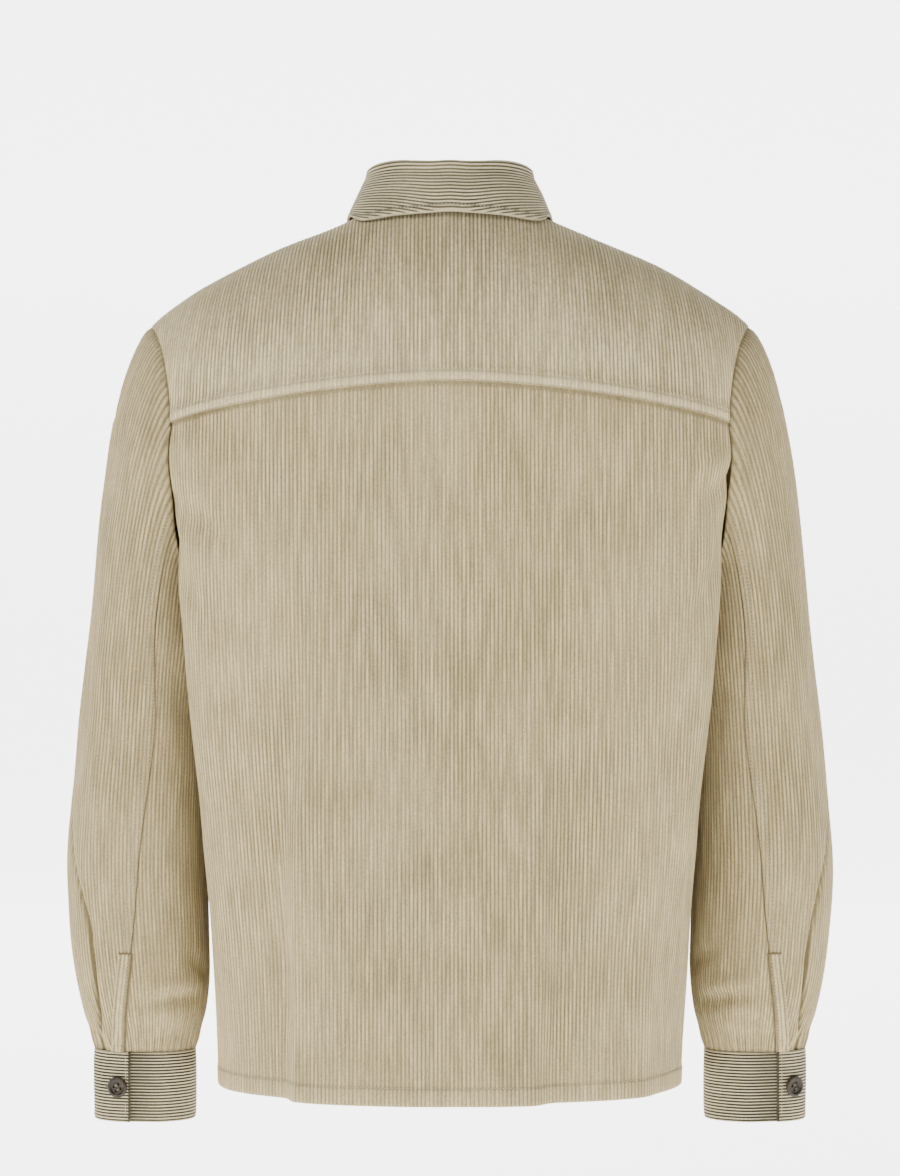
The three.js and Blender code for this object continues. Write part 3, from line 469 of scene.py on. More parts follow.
# Meshes
def finish_mesh(name, points, faces, attributes=None, merge=0.004, sharp=70):
    """A closed mesh from points in millimetres. Points in one place are made one."""
    mesh = bpy.data.meshes.new(name)
    mesh.from_pydata(points * 0.001, [], faces)
    for key, values in (attributes or {}).items():
        layer = mesh.attributes.new(key, "FLOAT", "POINT")
        layer.data.foreach_set("value", np.asarray(values, np.float32).ravel())
    work = bmesh.new()
    work.from_mesh(mesh)
    bmesh.ops.remove_doubles(work, verts=work.verts, dist=merge * 0.001)
    bmesh.ops.dissolve_degenerate(work, edges=work.edges, dist=1e-7)
    work.to_mesh(mesh)
    work.free()
    mesh.polygons.foreach_set("use_smooth", np.ones(len(mesh.polygons), bool))
    mesh.set_sharp_from_angle(angle=math.radians(sharp))
    piece = bpy.data.objects.new(name, mesh)
    bpy.context.scene.collection.objects.link(piece)
    return piece


def wall(name, outer, inner, rib, shade=None, every=WALE_STEPS):
    """A wall of cloth from the points of its outer face, in rows and columns, and of its inner
    face, which keeps one column in a few. The two are joined by strips all round the rim."""
    rows, columns = outer.shape[:2]
    rib = np.broadcast_to(rib, outer.shape[:2])
    kept = np.unique(np.append(np.arange(0, columns, every), columns - 1))
    inner = inner[:, kept]
    base = rows * columns
    inner_columns = len(kept)
    j, i = np.meshgrid(np.arange(rows - 1), np.arange(columns - 1), indexing="ij")
    a = j * columns + i
    faces = np.stack([a, a + columns, a + columns + 1, a + 1], axis=-1).reshape(-1, 4).tolist()
    j, i = np.meshgrid(np.arange(rows - 1), np.arange(inner_columns - 1), indexing="ij")
    a = base + j * inner_columns + i
    faces += np.stack([a, a + 1, a + inner_columns + 1, a + inner_columns], axis=-1).reshape(-1, 4).tolist()
    for k in range(inner_columns - 1):
        low, high = kept[k], kept[k + 1]
        top = list(range(low, high + 1))
        faces.append(top + [base + k + 1, base + k])
        bottom = [(rows - 1) * columns + c for c in range(high, low - 1, -1)]
        last = base + (rows - 1) * inner_columns
        faces.append(bottom + [last + k, last + k + 1])
    for r in range(rows - 1):
        left, left_in = r * columns, base + r * inner_columns
        faces.append([left, left_in, left_in + inner_columns, left + columns])
        right, right_in = left + columns - 1, left_in + inner_columns - 1
        faces.append([right, right + columns, right_in + inner_columns, right_in])
    points = np.concatenate([outer.reshape(-1, 3), inner.reshape(-1, 3)])
    inner_size = inner.shape[0] * inner.shape[1]
    # The rib attribute holds each piece's rib height with its painted light and shade added to it; the materials colour
    # by it.
    attributes = {"rib": np.concatenate([rib.ravel(), np.full(inner_size, 0.6)])}
    if shade is not None:
        attributes["shade"] = np.concatenate([shade.ravel(), np.zeros(inner_size)])
    return finish_mesh(name, points, faces, attributes)


def mirrored(points):
    return points * np.array([-1.0, 1.0, 1.0])


def groove(distance, width=0.9):
    """A narrow trough, as under a line of stitches: a bell curve."""
    return np.exp(-((distance / width) ** 2))


def folds(list_of_folds, across, height):
    """Soft troughs, ridges where the depth is negative. Each has its middle, half its run across
    and up, its half width and its depth: a bell curve across it, and 1 - t squared to the power
    1.5 along it, where t goes from -1 to 1 over its run."""
    across, height = np.broadcast_arrays(across, height)
    total = np.zeros(across.shape)
    for x, z, dx, dz, width, depth in list_of_folds:
        reach = math.hypot(dx, dz)
        along = ((across - x) * dx + (height - z) * dz) / reach**2
        beside = ((height - z) * dx - (across - x) * dz) / (reach * width)
        total -= depth * np.exp(-(beside**2)) * np.clip(1 - along**2, 0, 1) ** 1.5
    return total


def slack(across, height, seed, size, depth):
    """The slight unevenness of worn cloth: a sum of eight sine waves of uneven directions, about
    the given size apart."""
    draw = np.random.default_rng(seed)
    total = np.zeros(np.broadcast(across, height).shape)
    for _ in range(8):
        turn = draw.uniform(0, 2 * math.pi)
        pitch = size * draw.uniform(0.7, 1.6)
        wave = across * math.cos(turn) * 1.5 + height * math.sin(turn) * 0.75
        total += np.sin(2 * math.pi * wave / pitch + draw.uniform(0, 6.28))
    return depth * total / 8


RIB_HEIGHT = 0.55

# Folds of the trunk: girth, height, half run across and up, half width, depth
BACK_FOLDS = [
    (236, -300, -34, -60, 11, 4.3),
    (214, -262, -46, -22, 9, 3.0),
    (188, -400, -14, -120, 13, 3.5),
    (60, -560, 10, 150, 22, 3.0),
    (-100, -500, 6, 190, 20, 3.8),
    (-78, -520, 5, 210, 10, -2.7),
    (-236, -232, 30, -20, 7, 4.1),
    (-222, -215, 26, -8, 6, -2.4),
    (-228, -310, 32, -60, 12, 4.1),
    (-196, -420, 12, -110, 13, 3.2),
    (20, -430, 16, 150, 24, 2.2),
    (150, -620, 10, 100, 15, 3.5),
    (-150, -640, -8, 90, 14, 3.2),
    (0, -225, 60, 5, 14, 1.5),
]
FRONT_FOLDS = [
    (200, -300, -36, -56, 12, 3.0),
    (180, -420, -12, -120, 13, 2.6),
    (70, -330, 12, 120, 18, 2.0),
    (90, -600, 8, 130, 18, 2.6),
    (-196, -305, 36, -54, 12, 3.0),
    (-170, -430, 10, -110, 14, 2.6),
    (-80, -400, -10, 140, 18, 2.2),
    (-96, -620, -8, 110, 16, 2.6),
    (140, -236, -40, -24, 11, 2.0),
    (-140, -240, 40, -24, 11, 2.0),
]


def trunk_surface(face, raised=None):
    """The trunk's outer face with its folds, as a function of girth and drop."""

    def place(girth, drop):
        return trunk(face, girth, drop)

    def surface(girth, drop):
        out = normals(place, girth, drop) * face
        base = place(girth, drop)
        rows = BACK_FOLDS if face > 0 else FRONT_FOLDS
        height = base[..., 2]
        ease = smooth(-150, -215, -np.minimum(height, 0) * -1) if face < 0 else 1.0
        move = folds(rows, girth, height) * ease + slack(girth, height, 3 + face, 90, 1.3)
        return base, out, move

    return surface


def clamp_to_panel(face, low, high):
    """Holds a girth between a panel's two edges; None stands for the armhole and side seam."""

    def clamped(girth, drop):
        left = edge_girth(face, 1, drop) if high is None else high
        right = -edge_girth(face, -1, drop) if low is None else low
        return np.clip(girth, right, left)

    return clamped


HEM_NEAR = [0, 0.9, 3.5, 12.6, 14.2, HEM_DEPTH, 15.8, 17.2, 19.5]


def trunk_panel(name, face, girths, clamped, top, near_top, between, extra):
    """A panel of the trunk. Its columns keep one girth each, as the ribs do, up to the panel's
    edges, where they run along the edge. Its rows run down from the seam at its top."""
    surface = trunk_surface(face)
    share = np.linspace(0, 1, 90)
    bottom = HEM - CHEST
    start = top(girths)
    drops = np.concatenate([start * (1 - share[:, None]), bottom * share[1:, None] * np.ones_like(start)])
    for _ in range(3):
        held = clamped(girths, drops)
        start = top(held)
        drops[: len(share)] = start[: len(share)] * (1 - share[:, None]) if start.ndim > 1 else drops[: len(share)]
    held = clamped(girths, drops)
    run = run_of(np.swapaxes(trunk(face, held, drops), 0, 1))
    length = run[:, -1]
    wanted = spaced(length, near_top, HEM_NEAR, between)
    rows = resample(run, drops, wanted)
    held = clamped(girths, rows)
    base, out, move = surface(held, rows)
    to_hem = length - wanted
    edge_left = np.abs(held - clamped(np.full_like(held, 999.0), rows))
    edge_right = np.abs(held - clamped(np.full_like(held, -999.0), rows))
    raised, paint = extra(held, rows, wanted, to_hem, edge_left, edge_right)
    rib = wale(held / WALE) * uneven(held / WALE, wanted)
    outer = base + out * (move + raised + RIB_HEIGHT * (rib - 0.5))[..., None]
    inner = base + out * (move - CLOTH)[..., None]
    piece = wall(name, outer, inner, rib + paint)
    return piece, surface


def spaced(length, near_low, near_high, between):
    """Distances of a grid's rows from its first end: set ones near both ends, even ones between."""
    first, last = near_low[-1], length - near_high[-1]
    share = (np.arange(1, between + 1) / (between + 1))[:, None]
    low = np.array(near_low, float)[:, None] * np.ones_like(length)
    high = length - np.array(near_high[::-1], float)[:, None]
    return np.concatenate([low, first + (last - first) * share, high])


def resample(run, values, wanted):
    result = np.empty_like(wanted)
    for column in range(run.shape[0]):
        result[:, column] = np.interp(wanted[:, column], run[column], values[:, column])
    return result


def hem_form(to_hem):
    """The turned-up hem stands out a little up to its stitches, which press it in."""
    band = 0.7 * (1 - smooth(HEM_DEPTH, HEM_DEPTH + 2.5, to_hem))
    return band - 0.8 * groove(to_hem - HEM_DEPTH, 1.0) - 0.5 * (1 - smooth(0, 1.2, to_hem))


def hem_paint(to_hem):
    """The hem band up to its stitches is painted a little lighter, and its stitched line darker as painted shade in the
    stitch groove.
    """
    return 0.12 * (1 - smooth(HEM_DEPTH, HEM_DEPTH + 1.5, to_hem)) - 0.45 * groove(to_hem - HEM_DEPTH, 0.8)


def seam_dip(distance):
    """Cloth turns in at a seam: down 0.9 over its last 1.6 millimetres."""
    return -0.9 * (1 - smooth(0, 1.8, distance))


def back_extra(girth, drop, below_top, to_hem, left, right):
    edge = np.minimum(left, right)
    raised = hem_form(to_hem) + seam_dip(edge) - 0.5 * (1 - smooth(0, 6, below_top))
    # Painted shade: darker just under the yoke's lapped edge along the top, and along the armhole and side seams.
    paint = hem_paint(to_hem) - 1.2 * (1 - smooth(0.6, 2.6, below_top)) - 0.5 * (1 - smooth(0, 1.5, edge))
    return raised, paint


def front_extra(side, upper):
    def extra(girth, drop, below_top, to_hem, left, right):
        edge, seam = (right, left) if side > 0 else (left, right)
        raised = hem_form(to_hem) + seam_dip(seam) + seam_dip(below_top)
        if upper:
            raised = raised + LAP_RAISE * (1 - smooth(LAP * 1.2, LAP * 2.4, girth))
            raised -= 0.8 * groove(edge - 6.5) + 0.4 * (1 - smooth(0, 1.2, edge))
        # Painted shade: darker along the side seam and along the seam at the top.
        paint = hem_paint(to_hem) - 0.5 * (1 - smooth(0, 1.5, np.minimum(seam, below_top)))
        return raised, paint

    return extra


def yoke_surface(girth, angle):
    out = normals(over_shoulder, girth, angle)
    base = over_shoulder(girth, angle)
    return base, out, slack(girth, base[..., 1], 12, 110, 0.9)


def shoulder_reach(side, angle):
    start = np.where(angle <= 90, REACH[1, side], REACH[-1, side])
    return start + (SHOULDER_TIP - start) * np.clip(np.sin(np.radians(angle)), 0, 1) ** 1.35


YOKE_STITCHES = (1.7, 9.0)
YOKE_NEAR = [0, 0.5, 1.1, 1.7, 2.3, 3.4, 6, 8.0, 8.6, 9.0, 9.4, 10.2, 12]


def make_yoke():
    """The yoke: rows run down from the neck and shoulder seams over the shoulder to its lower
    edge, which laps over the back and stands out by its double cloth."""
    girths = rib_columns(-285, 285, WALE / WALE_STEPS)[::-1]
    share = np.linspace(0, 1, 120)[:, None]
    held = girths * np.ones_like(share)
    for _ in range(4):
        top, low = seam_angle("back", held), seam_angle("low", held)
        angles = top + (low - top) * share
        held = np.clip(girths, -shoulder_reach(-1, angles), shoulder_reach(1, angles))
    run = run_of(np.swapaxes(over_shoulder(held, angles), 0, 1))
    length = run[:, -1]
    wanted = spaced(length, [0, 1.5, 5], YOKE_NEAR, 20)
    rows = resample(run, angles, wanted)
    held = np.clip(girths, -shoulder_reach(-1, rows), shoulder_reach(1, rows))
    base, out, move = yoke_surface(held, rows)
    to_edge = length - wanted
    side_seam = np.minimum(shoulder_reach(1, rows) - held, held + shoulder_reach(-1, rows))
    band = 1 - smooth(8.6, 10.2, to_edge)
    raised = 1.5 * (1 - smooth(9.5, 13, to_edge)) - 0.35 * (1 - smooth(0, 0.8, to_edge))
    raised -= 0.5 * groove(to_edge - YOKE_STITCHES[0], 0.7) + 0.75 * groove(to_edge - YOKE_STITCHES[1], 0.9)
    raised += seam_dip(side_seam) + seam_dip(wanted)
    rib = wale(held / WALE) * uneven(held / WALE, wanted) * (1 - 0.45 * band)
    # Painted: the band up to the stitches a little lighter; painted shadow along the lower edge over the back; painted
    # shade along the outer stitch line and the side seams.
    paint = 0.42 * band - 1.6 * (1 - smooth(0.15, 0.9, to_edge))
    paint -= 0.35 * groove(to_edge - YOKE_STITCHES[1], 0.7) + 0.5 * (1 - smooth(0, 1.5, side_seam))
    outer = base + out * (move + raised + RIB_HEIGHT * (rib - 0.5))[..., None]
    inner = base + out * (move - CLOTH)[..., None]
    return wall("yoke_cloth", outer, inner, rib + paint)


# Sleeves
def ring_table(row, square, heights):
    """Superellipse sections, read by the share of the way round: 0 outside, 0.25 the back."""
    angle = np.radians(np.arange(0, 361, 2.0))
    shares = np.linspace(0, 1, 721)
    c, s = np.cos(angle), np.sin(angle)
    unit_x = np.sign(c) * np.abs(c) ** (2 / square)
    unit_y = np.sign(s) * np.abs(s) ** (2 / square)
    xy = np.empty((len(heights), len(shares), 2))
    around = np.empty(len(heights))
    for j, z in enumerate(heights):
        cx, cy, a, b = (row(n, z) for n in ("cx", "cy", "a", "b"))
        line = np.stack([cx + a * unit_x, cy + b * unit_y], axis=-1)
        run = run_of(line)
        around[j] = run[-1]
        for axis in range(2):
            xy[j, :, axis] = np.interp(shares * run[-1], run, line[:, axis])
    return xy, around


SLEEVE_HEIGHTS = np.arange(SLEEVE_TOP, -716, -1.0)
SLEEVE_XY, SLEEVE_ROUND = ring_table(lambda n, z: curve(SLEEVE, "z", n, z), SLEEVE_SQUARE, SLEEVE_HEIGHTS)
CUFF_XY, CUFF_ROUND = ring_table(lambda n, z: CUFF[n], CUFF_SQUARE, [0.0, 1.0])


def read_ring(xy, row_at, share):
    row_at, share = np.broadcast_arrays(np.asarray(row_at, float), np.asarray(share, float))
    row_at = np.clip(row_at, 0, len(xy) - 1.001)
    column_at = (share % 1) * 720
    j, i = row_at.astype(int), np.minimum(column_at.astype(int), 719)
    kj, ki = (row_at - j)[..., None], (column_at - i)[..., None]
    return (1 - kj) * ((1 - ki) * xy[j, i] + ki * xy[j, i + 1]) + kj * (
        (1 - ki) * xy[j + 1, i] + ki * xy[j + 1, i + 1]
    )


def ring_out(xy, row_at, share):
    ahead, behind = read_ring(xy, row_at, share + 0.004), read_ring(xy, row_at, share - 0.004)
    step = ahead - behind
    return unit(np.stack([step[..., 1], -step[..., 0]], axis=-1))


def sleeve_point(share, z):
    """A point of the sleeve below its cap, with the pleat that runs into the cuff."""
    share, z = np.broadcast_arrays(np.asarray(share, float), np.asarray(z, float))
    row_at = SLEEVE_TOP - z
    xy = read_ring(SLEEVE_XY, row_at, share)
    around = np.interp(row_at, np.arange(len(SLEEVE_ROUND)), SLEEVE_ROUND)
    past = (((curve(PLEAT, "z", "share", z) - share + 0.5) % 1) - 0.5) * around
    crease = curve(PLEAT, "z", "crease", z) * np.exp(-((past - PLEAT_WIDTH / 2) / PLEAT_WIDTH) ** 2)
    press = curve(PLEAT, "z", "press", z) * smooth(0, 2, past) * (1 - smooth(4, PLEAT_STRIP, past))
    depth = crease + press
    xy = xy - ring_out(SLEEVE_XY, row_at, share) * depth[..., None]
    return np.concatenate([xy, z[..., None]], axis=-1)


def armhole_loop():
    """The left armhole from the underarm up the back, over the tip and down the front, and the
    share of the way round the sleeve that each of its points belongs to. A step along it counts
    by its part across the sleeve's ribs."""
    z = np.arange(UNDERARM, YOKE_MIDDLE - YOKE_DROP, 1.5)
    back = upright(1, edge_girth(1, 1, z - CHEST), z)
    low, top = seam_angle("low", np.array([400.0]))[0], seam_angle("back", np.array([400.0]))[0]
    over = np.arange(low, 180.0, 1.0)
    over = over_shoulder(shoulder_reach(1, over), over)
    z = np.arange(CHEST - 1.0, UNDERARM, -1.5)
    front = upright(-1, edge_girth(-1, 1, z - CHEST), z)
    loop = np.concatenate([back, over, front, back[:1]])
    step = np.diff(loop, axis=0)
    run_of_sleeve = np.array([0.17, 0, -0.985])
    cost = np.linalg.norm(np.cross(step, run_of_sleeve), axis=-1) + 0.12 * np.linalg.norm(step, axis=-1)
    across = np.concatenate([[0], np.cumsum(cost)])
    tip = int(np.argmax(loop[:, 2]))
    middle, total = across[tip], across[-1]
    share = np.where(across <= middle, 0.5 * (1 - across / middle), -0.5 * (across - middle) / (total - middle))
    return loop[::-1], share[::-1]


ARMHOLE, ARMHOLE_SHARE = armhole_loop()
SEAM_START = float(np.interp(-268, ARMHOLE[len(ARMHOLE) // 2 :, 2][::-1], ARMHOLE_SHARE[len(ARMHOLE) // 2 :][::-1]))


def seam_share(z):
    settled = smooth(0, SEAM_SETTLE, SLEEVE_TOP - np.asarray(z, float))
    return SEAM_START + (curve(SEAM_LINE, "z", "share", z) - SEAM_START) * settled


CAP = {"outward": 0.5, "fuller": 0.25, "down": 0.72, "leave": 0.6, "inward": 0.1, "arrive": 0.9}


def sleeve_place(share, way):
    """The left sleeve: 0 to 1 of the way is the cap, a cubic from the armhole to the first upright
    section; from 1 to 2 it is the upright sleeve down to the cuff."""
    share, way = np.broadcast_arrays(np.asarray(share, float), np.asarray(way, float))
    wrapped = (share + 0.5) % 1 - 0.5
    start = np.stack([np.interp(wrapped, ARMHOLE_SHARE, ARMHOLE[:, k]) for k in range(3)], axis=-1)
    end = sleeve_point(share, np.full_like(share, SLEEVE_TOP))
    reach = np.linalg.norm(end - start, axis=-1, keepdims=True)
    outside = np.cos(share * 2 * math.pi)
    zero = np.zeros_like(outside)
    leave = np.stack([CAP["outward"] + CAP["fuller"] * outside, zero, zero - CAP["down"]], axis=-1)
    leave = unit(leave) * reach * CAP["leave"]
    arrive = unit(np.stack([zero + CAP["inward"], zero, zero - 1], axis=-1)) * reach * CAP["arrive"]
    v = np.clip(way, 0, 1)[..., None]
    v2, v3 = v * v, v * v * v
    cap = (2 * v3 - 3 * v2 + 1) * start + (v3 - 2 * v2 + v) * leave
    cap += (3 * v2 - 2 * v3) * end + (v3 - v2) * arrive
    low = sleeve_point(share, SLEEVE_TOP + np.maximum(way - 1, 0) * (SLEEVE_END - SLEEVE_TOP))
    return np.where((way > 1)[..., None], low, cap)


# Folds of a sleeve: place round it from the outside (a whole turn is 360), height, and as above
SLEEVE_FOLDS = {
    1: [
        (122, -670, 36, 5, 6, 5.5),
        (118, -655, 28, 4, 6, -2.4),
        (44, -701, 30, 2, 8, -3.0),
        (96, -690, 20, 9, 5, 2.4),
        (150, -640, 22, -16, 8, 2.6),
        (52, -600, 8, 60, 8, 2.0),
        (76, -470, -14, 90, 12, 2.4),
        (30, -430, 10, 110, 12, 2.0),
        (128, -420, -16, 60, 10, 2.2),
        (10, -160, 14, 16, 7, 2.2),
        (30, -205, 22, 30, 9, 1.8),
        (250, -520, 12, 90, 12, 2.4),
        (300, -450, -12, 110, 13, 2.2),
        (230, -660, 30, 6, 6, 3.0),
        (330, -610, 8, 60, 9, 2.2),
    ],
    -1: [
        (126, -668, 36, -4, 6, 5.0),
        (122, -654, 28, -4, 6, -2.2),
        (46, -701, 30, 2, 8, -3.0),
        (104, -684, 24, 8, 5, 2.6),
        (148, -632, 24, -14, 8, 2.4),
        (60, -610, 8, 60, 8, 2.2),
        (84, -480, -14, 80, 12, 2.4),
        (36, -440, 10, 100, 12, 1.8),
        (130, -430, -16, 60, 10, 2.4),
        (12, -158, 14, 16, 7, 2.2),
        (36, -210, 22, 26, 9, 2.0),
        (246, -530, 12, 90, 12, 2.4),
        (304, -440, -12, 110, 13, 2.2),
        (236, -650, 30, 6, 6, 3.0),
        (326, -600, 8, 60, 9, 2.2),
    ],
}
SEAM_BAND = 8.0
SEAM_ROWS = (1.4, 6.6)


def sleeve_surface(side):
    def surface(share, way):
        out = normals(sleeve_place, share, way, 0.002, 0.004)
        base = sleeve_place(share, way)
        height = base[..., 2]
        place_round = (share % 1) * 360
        move = folds(SLEEVE_FOLDS[side], place_round, height)
        gather = np.sin(2 * math.pi * (share * 37 + 0.3 * np.sin(share * 19)))
        move += 1.3 * gather * smooth(690, 710, -height)
        move += slack(place_round, height, 20 + side, 70, 1.2) * smooth(0, 40, -height - 60)
        move = move * smooth(0, 0.12, way)
        return base, out, move * (1 - 0.7 * smooth(706, 715, -height))

    return surface


def make_sleeve(name, side):
    """A sleeve: its columns keep one share of the way round each, as the ribs do, and are cut by
    the seam that runs down its back, whose outer side laps over as a flat felled band."""
    surface = sleeve_surface(side)
    way = np.concatenate(
        [
            [0, 0.012, 0.03],
            np.linspace(0.07, 0.97, 17),
            1 + np.linspace(0, 0.74, 38),
            1 + np.array([0.755, 0.763, 0.767]),
            1 + np.linspace(0.785, 0.985, 22),
            [1.992, 2.0],
        ]
    )[:, None]
    z = SLEEVE_TOP + np.maximum(way - 1, 0) * (SLEEVE_END - SLEEVE_TOP)
    seam = seam_share(z)
    columns = rib_columns((float(seam.min()) - 1) * SLEEVE_WALES, float(seam.max()) * SLEEVE_WALES, 1 / WALE_STEPS)
    share = np.clip(columns / SLEEVE_WALES * np.ones_like(way), seam - 1 + 0.0004, seam - 0.0004)
    base, out, move = surface(share, way)
    around = np.interp(SLEEVE_TOP - z, np.arange(len(SLEEVE_ROUND)), SLEEVE_ROUND)
    outside = (seam - share) * around
    inside = (share - seam + 1) * around
    band = 0.9 * (1 - smooth(SEAM_BAND - 0.4, SEAM_BAND + 1.4, outside)) - 0.45 * (1 - smooth(0, 0.9, outside))
    for row in SEAM_ROWS:
        band -= 0.55 * groove(outside - row, 0.7)
    band = band * smooth(0, 0.1, way) + seam_dip(inside)
    armhole = -1.0 * (1 - smooth(0, 0.03, way)) + 0.5 * groove((way - 0.07) / 0.05, 1)
    felled = (1 - smooth(SEAM_BAND - 0.6, SEAM_BAND + 0.8, outside)) * smooth(0, 0.1, way)
    rib = wale(share * SLEEVE_WALES) * uneven(share * SLEEVE_WALES, base[..., 2]) * (1 - 0.4 * felled)
    past = (((curve(PLEAT, "z", "share", z) - share + 0.5) % 1) - 0.5) * around
    crease = curve(PLEAT, "z", "crease", z) / 8
    # Painted: the felled band a little lighter; painted shade beside the seam, along the pleat's crease, at the
    # armhole, where the sleeve meets the cuff and beside the placket.
    paint = 0.3 * felled - 0.7 * (1 - smooth(0, 1.2, inside)) - 1.8 * crease * np.exp(-((past - 1.6) / 1.7) ** 2)
    paint -= 0.4 * (1 - smooth(0, 0.02, way)) + 0.5 * smooth(1.991, 1.998, way)
    paint -= 1.1 * (1 - smooth(VENT_INSIDE, VENT_INSIDE + 2.4, inside)) * (z < VENT_TOP)
    outer = base + out * (move + band + armhole + RIB_HEIGHT * (rib - 0.5))[..., None]
    inner = base + out * (move - CLOTH)[..., None]
    if side < 0:
        outer, inner, rib = mirrored(outer)[:, ::-1], mirrored(inner)[:, ::-1], rib[:, ::-1]
        paint = paint[:, ::-1]
    return wall(name, outer, inner, rib + paint)


VENT_INSIDE, VENT_OUTSIDE, VENT_LIFT, VENT_THICK = 1.0, 10.0, 0.35, 1.6


def make_vent(name, side):
    """The strip that binds the sleeve's slit, laid on the sleeve beside its seam."""
    surface = sleeve_surface(side)
    z = np.concatenate([[VENT_TOP, VENT_TOP - 1, VENT_TOP - 3], np.linspace(VENT_TOP - 6, SLEEVE_END, 34)])[:, None]
    way = 1 + (SLEEVE_TOP - z) / (SLEEVE_TOP - SLEEVE_END)
    across = np.linspace(-VENT_OUTSIDE, VENT_INSIDE, 30)
    around = np.interp(SLEEVE_TOP - z, np.arange(len(SLEEVE_ROUND)), SLEEVE_ROUND)
    share = seam_share(z) + across / around
    base, out, move = surface(share, way)
    rim = np.minimum(across + VENT_OUTSIDE, VENT_INSIDE - across)
    top = VENT_TOP - z
    raised = VENT_LIFT + VENT_THICK - 0.5 * (1 - smooth(0, 1, rim)) - 0.5 * (1 - smooth(0, 1.2, top))
    raised = raised - 0.5 * groove(rim - 1.8, 0.6) + 0.4
    rib = wale(across / WALE + 0.2) * np.ones_like(z) * 0.8
    outer = base + out * (move + raised + 0.45 * (rib - 0.5))[..., None]
    # Painted: the strip a little lighter overall, with painted shade along its inner edge, across its top and along its
    # stitch line.
    rib = rib + 0.25 - 2.4 * (1 - smooth(0.2, 1.1, rim)) * (across > 0) - 1.2 * (1 - smooth(0, 1.2, top))
    rib = rib - 0.5 * groove(rim - 1.8, 0.6)
    inner = base + out * (move + VENT_LIFT)[..., None]
    if side < 0:
        outer, inner, rib = mirrored(outer)[:, ::-1], mirrored(inner)[:, ::-1], rib[:, ::-1]
    return wall(name, outer, inner, rib)


def cuff_place(share, z):
    xy = read_ring(CUFF_XY, np.zeros_like(share), share)
    out = ring_out(CUFF_XY, np.zeros_like(share), share)
    return np.concatenate([xy, z[..., None]], axis=-1), np.concatenate([out, np.zeros_like(z)[..., None]], axis=-1)


CUFF_STEPS = 6


def make_cuff(name, side):
    """A cuff: a strip of double cloth from the end of its upper layer round to its under layer.
    Its ribs run round it."""
    end = CUFF_END[side]
    under = CUFF_UNDER / CUFF_ROUND[0]
    columns = np.concatenate(
        [np.linspace(end - 1 - under, end - 0.04, 120), end + np.array([-0.033, -0.027, -0.02, -0.012, -0.006, -0.003, 0])]
    )
    count = int(round((CUFF_TOP - CUFF_BOTTOM) / CUFF_WALE * CUFF_STEPS))
    z = np.linspace(CUFF_TOP, CUFF_BOTTOM, count + 1)[:, None]
    share, height = np.broadcast_arrays(columns, z)
    base, out = cuff_place(share, height)
    past = (share - end + 1) / under
    sunk = 1 - smooth(0.15, 1.2, past)
    from_end = (end - share) * CUFF_ROUND[0]
    rim = np.minimum(CUFF_TOP - height, height - CUFF_BOTTOM)
    move = -(CUFF_THICK + 0.6) * sunk
    raised = -0.7 * (1 - smooth(0, 1.6, rim)) - 0.7 * (1 - smooth(0, 1.4, from_end))
    raised -= 0.3 * groove(rim - 3.5, 0.8) + 0.3 * groove(from_end - 3.5, 0.8)
    raised += 0.5 * np.sin(share * 23 + height * 0.05) * smooth(0, 10, rim) * (1 - sunk)
    rib = wale((CUFF_TOP - height) / CUFF_WALE, 0.9)
    soft = smooth(0, 1.2, rim)
    outer = base + out * (move + raised + 1.0 * (rib - 0.7) * soft)[..., None]
    inner = base + out * (move - CUFF_THICK)[..., None]
    # Painted shade: dark at the upper layer's end over the under layer, and the under layer a little darker; towards
    # the rims the painted groove shade fades to the near-ridge colour.
    end_shade = 1.6 * (1 - smooth(0.2, 1.1, from_end)) * (past > 1)
    rib = rib * soft + 0.85 * (1 - soft) - end_shade - 0.12 * sunk
    if side < 0:
        outer, inner, rib = mirrored(outer)[:, ::-1], mirrored(inner)[:, ::-1], rib[:, ::-1]
    return wall(name, outer, inner, rib, every=2)


# Neck, stand and collar
def neck_line():
    """The neck seam from the left front's end round the back to the right front's end, with the
    level direction out of the neck, both read by the distance run."""
    wide = NECK_SHARE * SHOULDER_TIP - 0.4
    front = np.arange(-LAP, wide, 1.0)
    left = shoulder(-1, front, seam_angle("front", front))
    out = normals(lambda a, b: shoulder(-1, a, b), front, seam_angle("front", front)) * -1
    left = left + out * (LAP_RAISE * (1 - smooth(LAP * 1.2, LAP * 2.4, front)))[:, None]
    back = np.arange(wide, -wide, -1.0)
    right = np.arange(-wide, LAP + 0.1, 1.0)
    points = np.concatenate(
        [left, over_shoulder(back, seam_angle("back", back)), shoulder(-1, right, seam_angle("front", right))]
    )
    run = run_of(points)
    even = np.arange(0, run[-1], 2.0)
    points = np.stack([np.interp(even, run, points[:, k]) for k in range(3)], axis=-1)
    kernel = np.hanning(15)[1:-1]
    kernel /= kernel.sum()
    padded_points = np.pad(points, ((6, 6), (0, 0)), mode="reflect", reflect_type="odd")
    points = np.stack([np.convolve(padded_points[:, k], kernel, "valid") for k in range(3)], axis=-1)
    step = np.gradient(points, axis=0)
    out = unit(np.stack([step[:, 1], -step[:, 0], np.zeros(len(step))], axis=-1))
    centre = np.array([0, NECK["middle"], 0])
    facing = np.sign(np.sum((points - centre) * out * [1, 1, 0], axis=-1))
    return even, points, out * np.median(facing)


NECK_RUN, NECK_POINTS, NECK_OUT = neck_line()


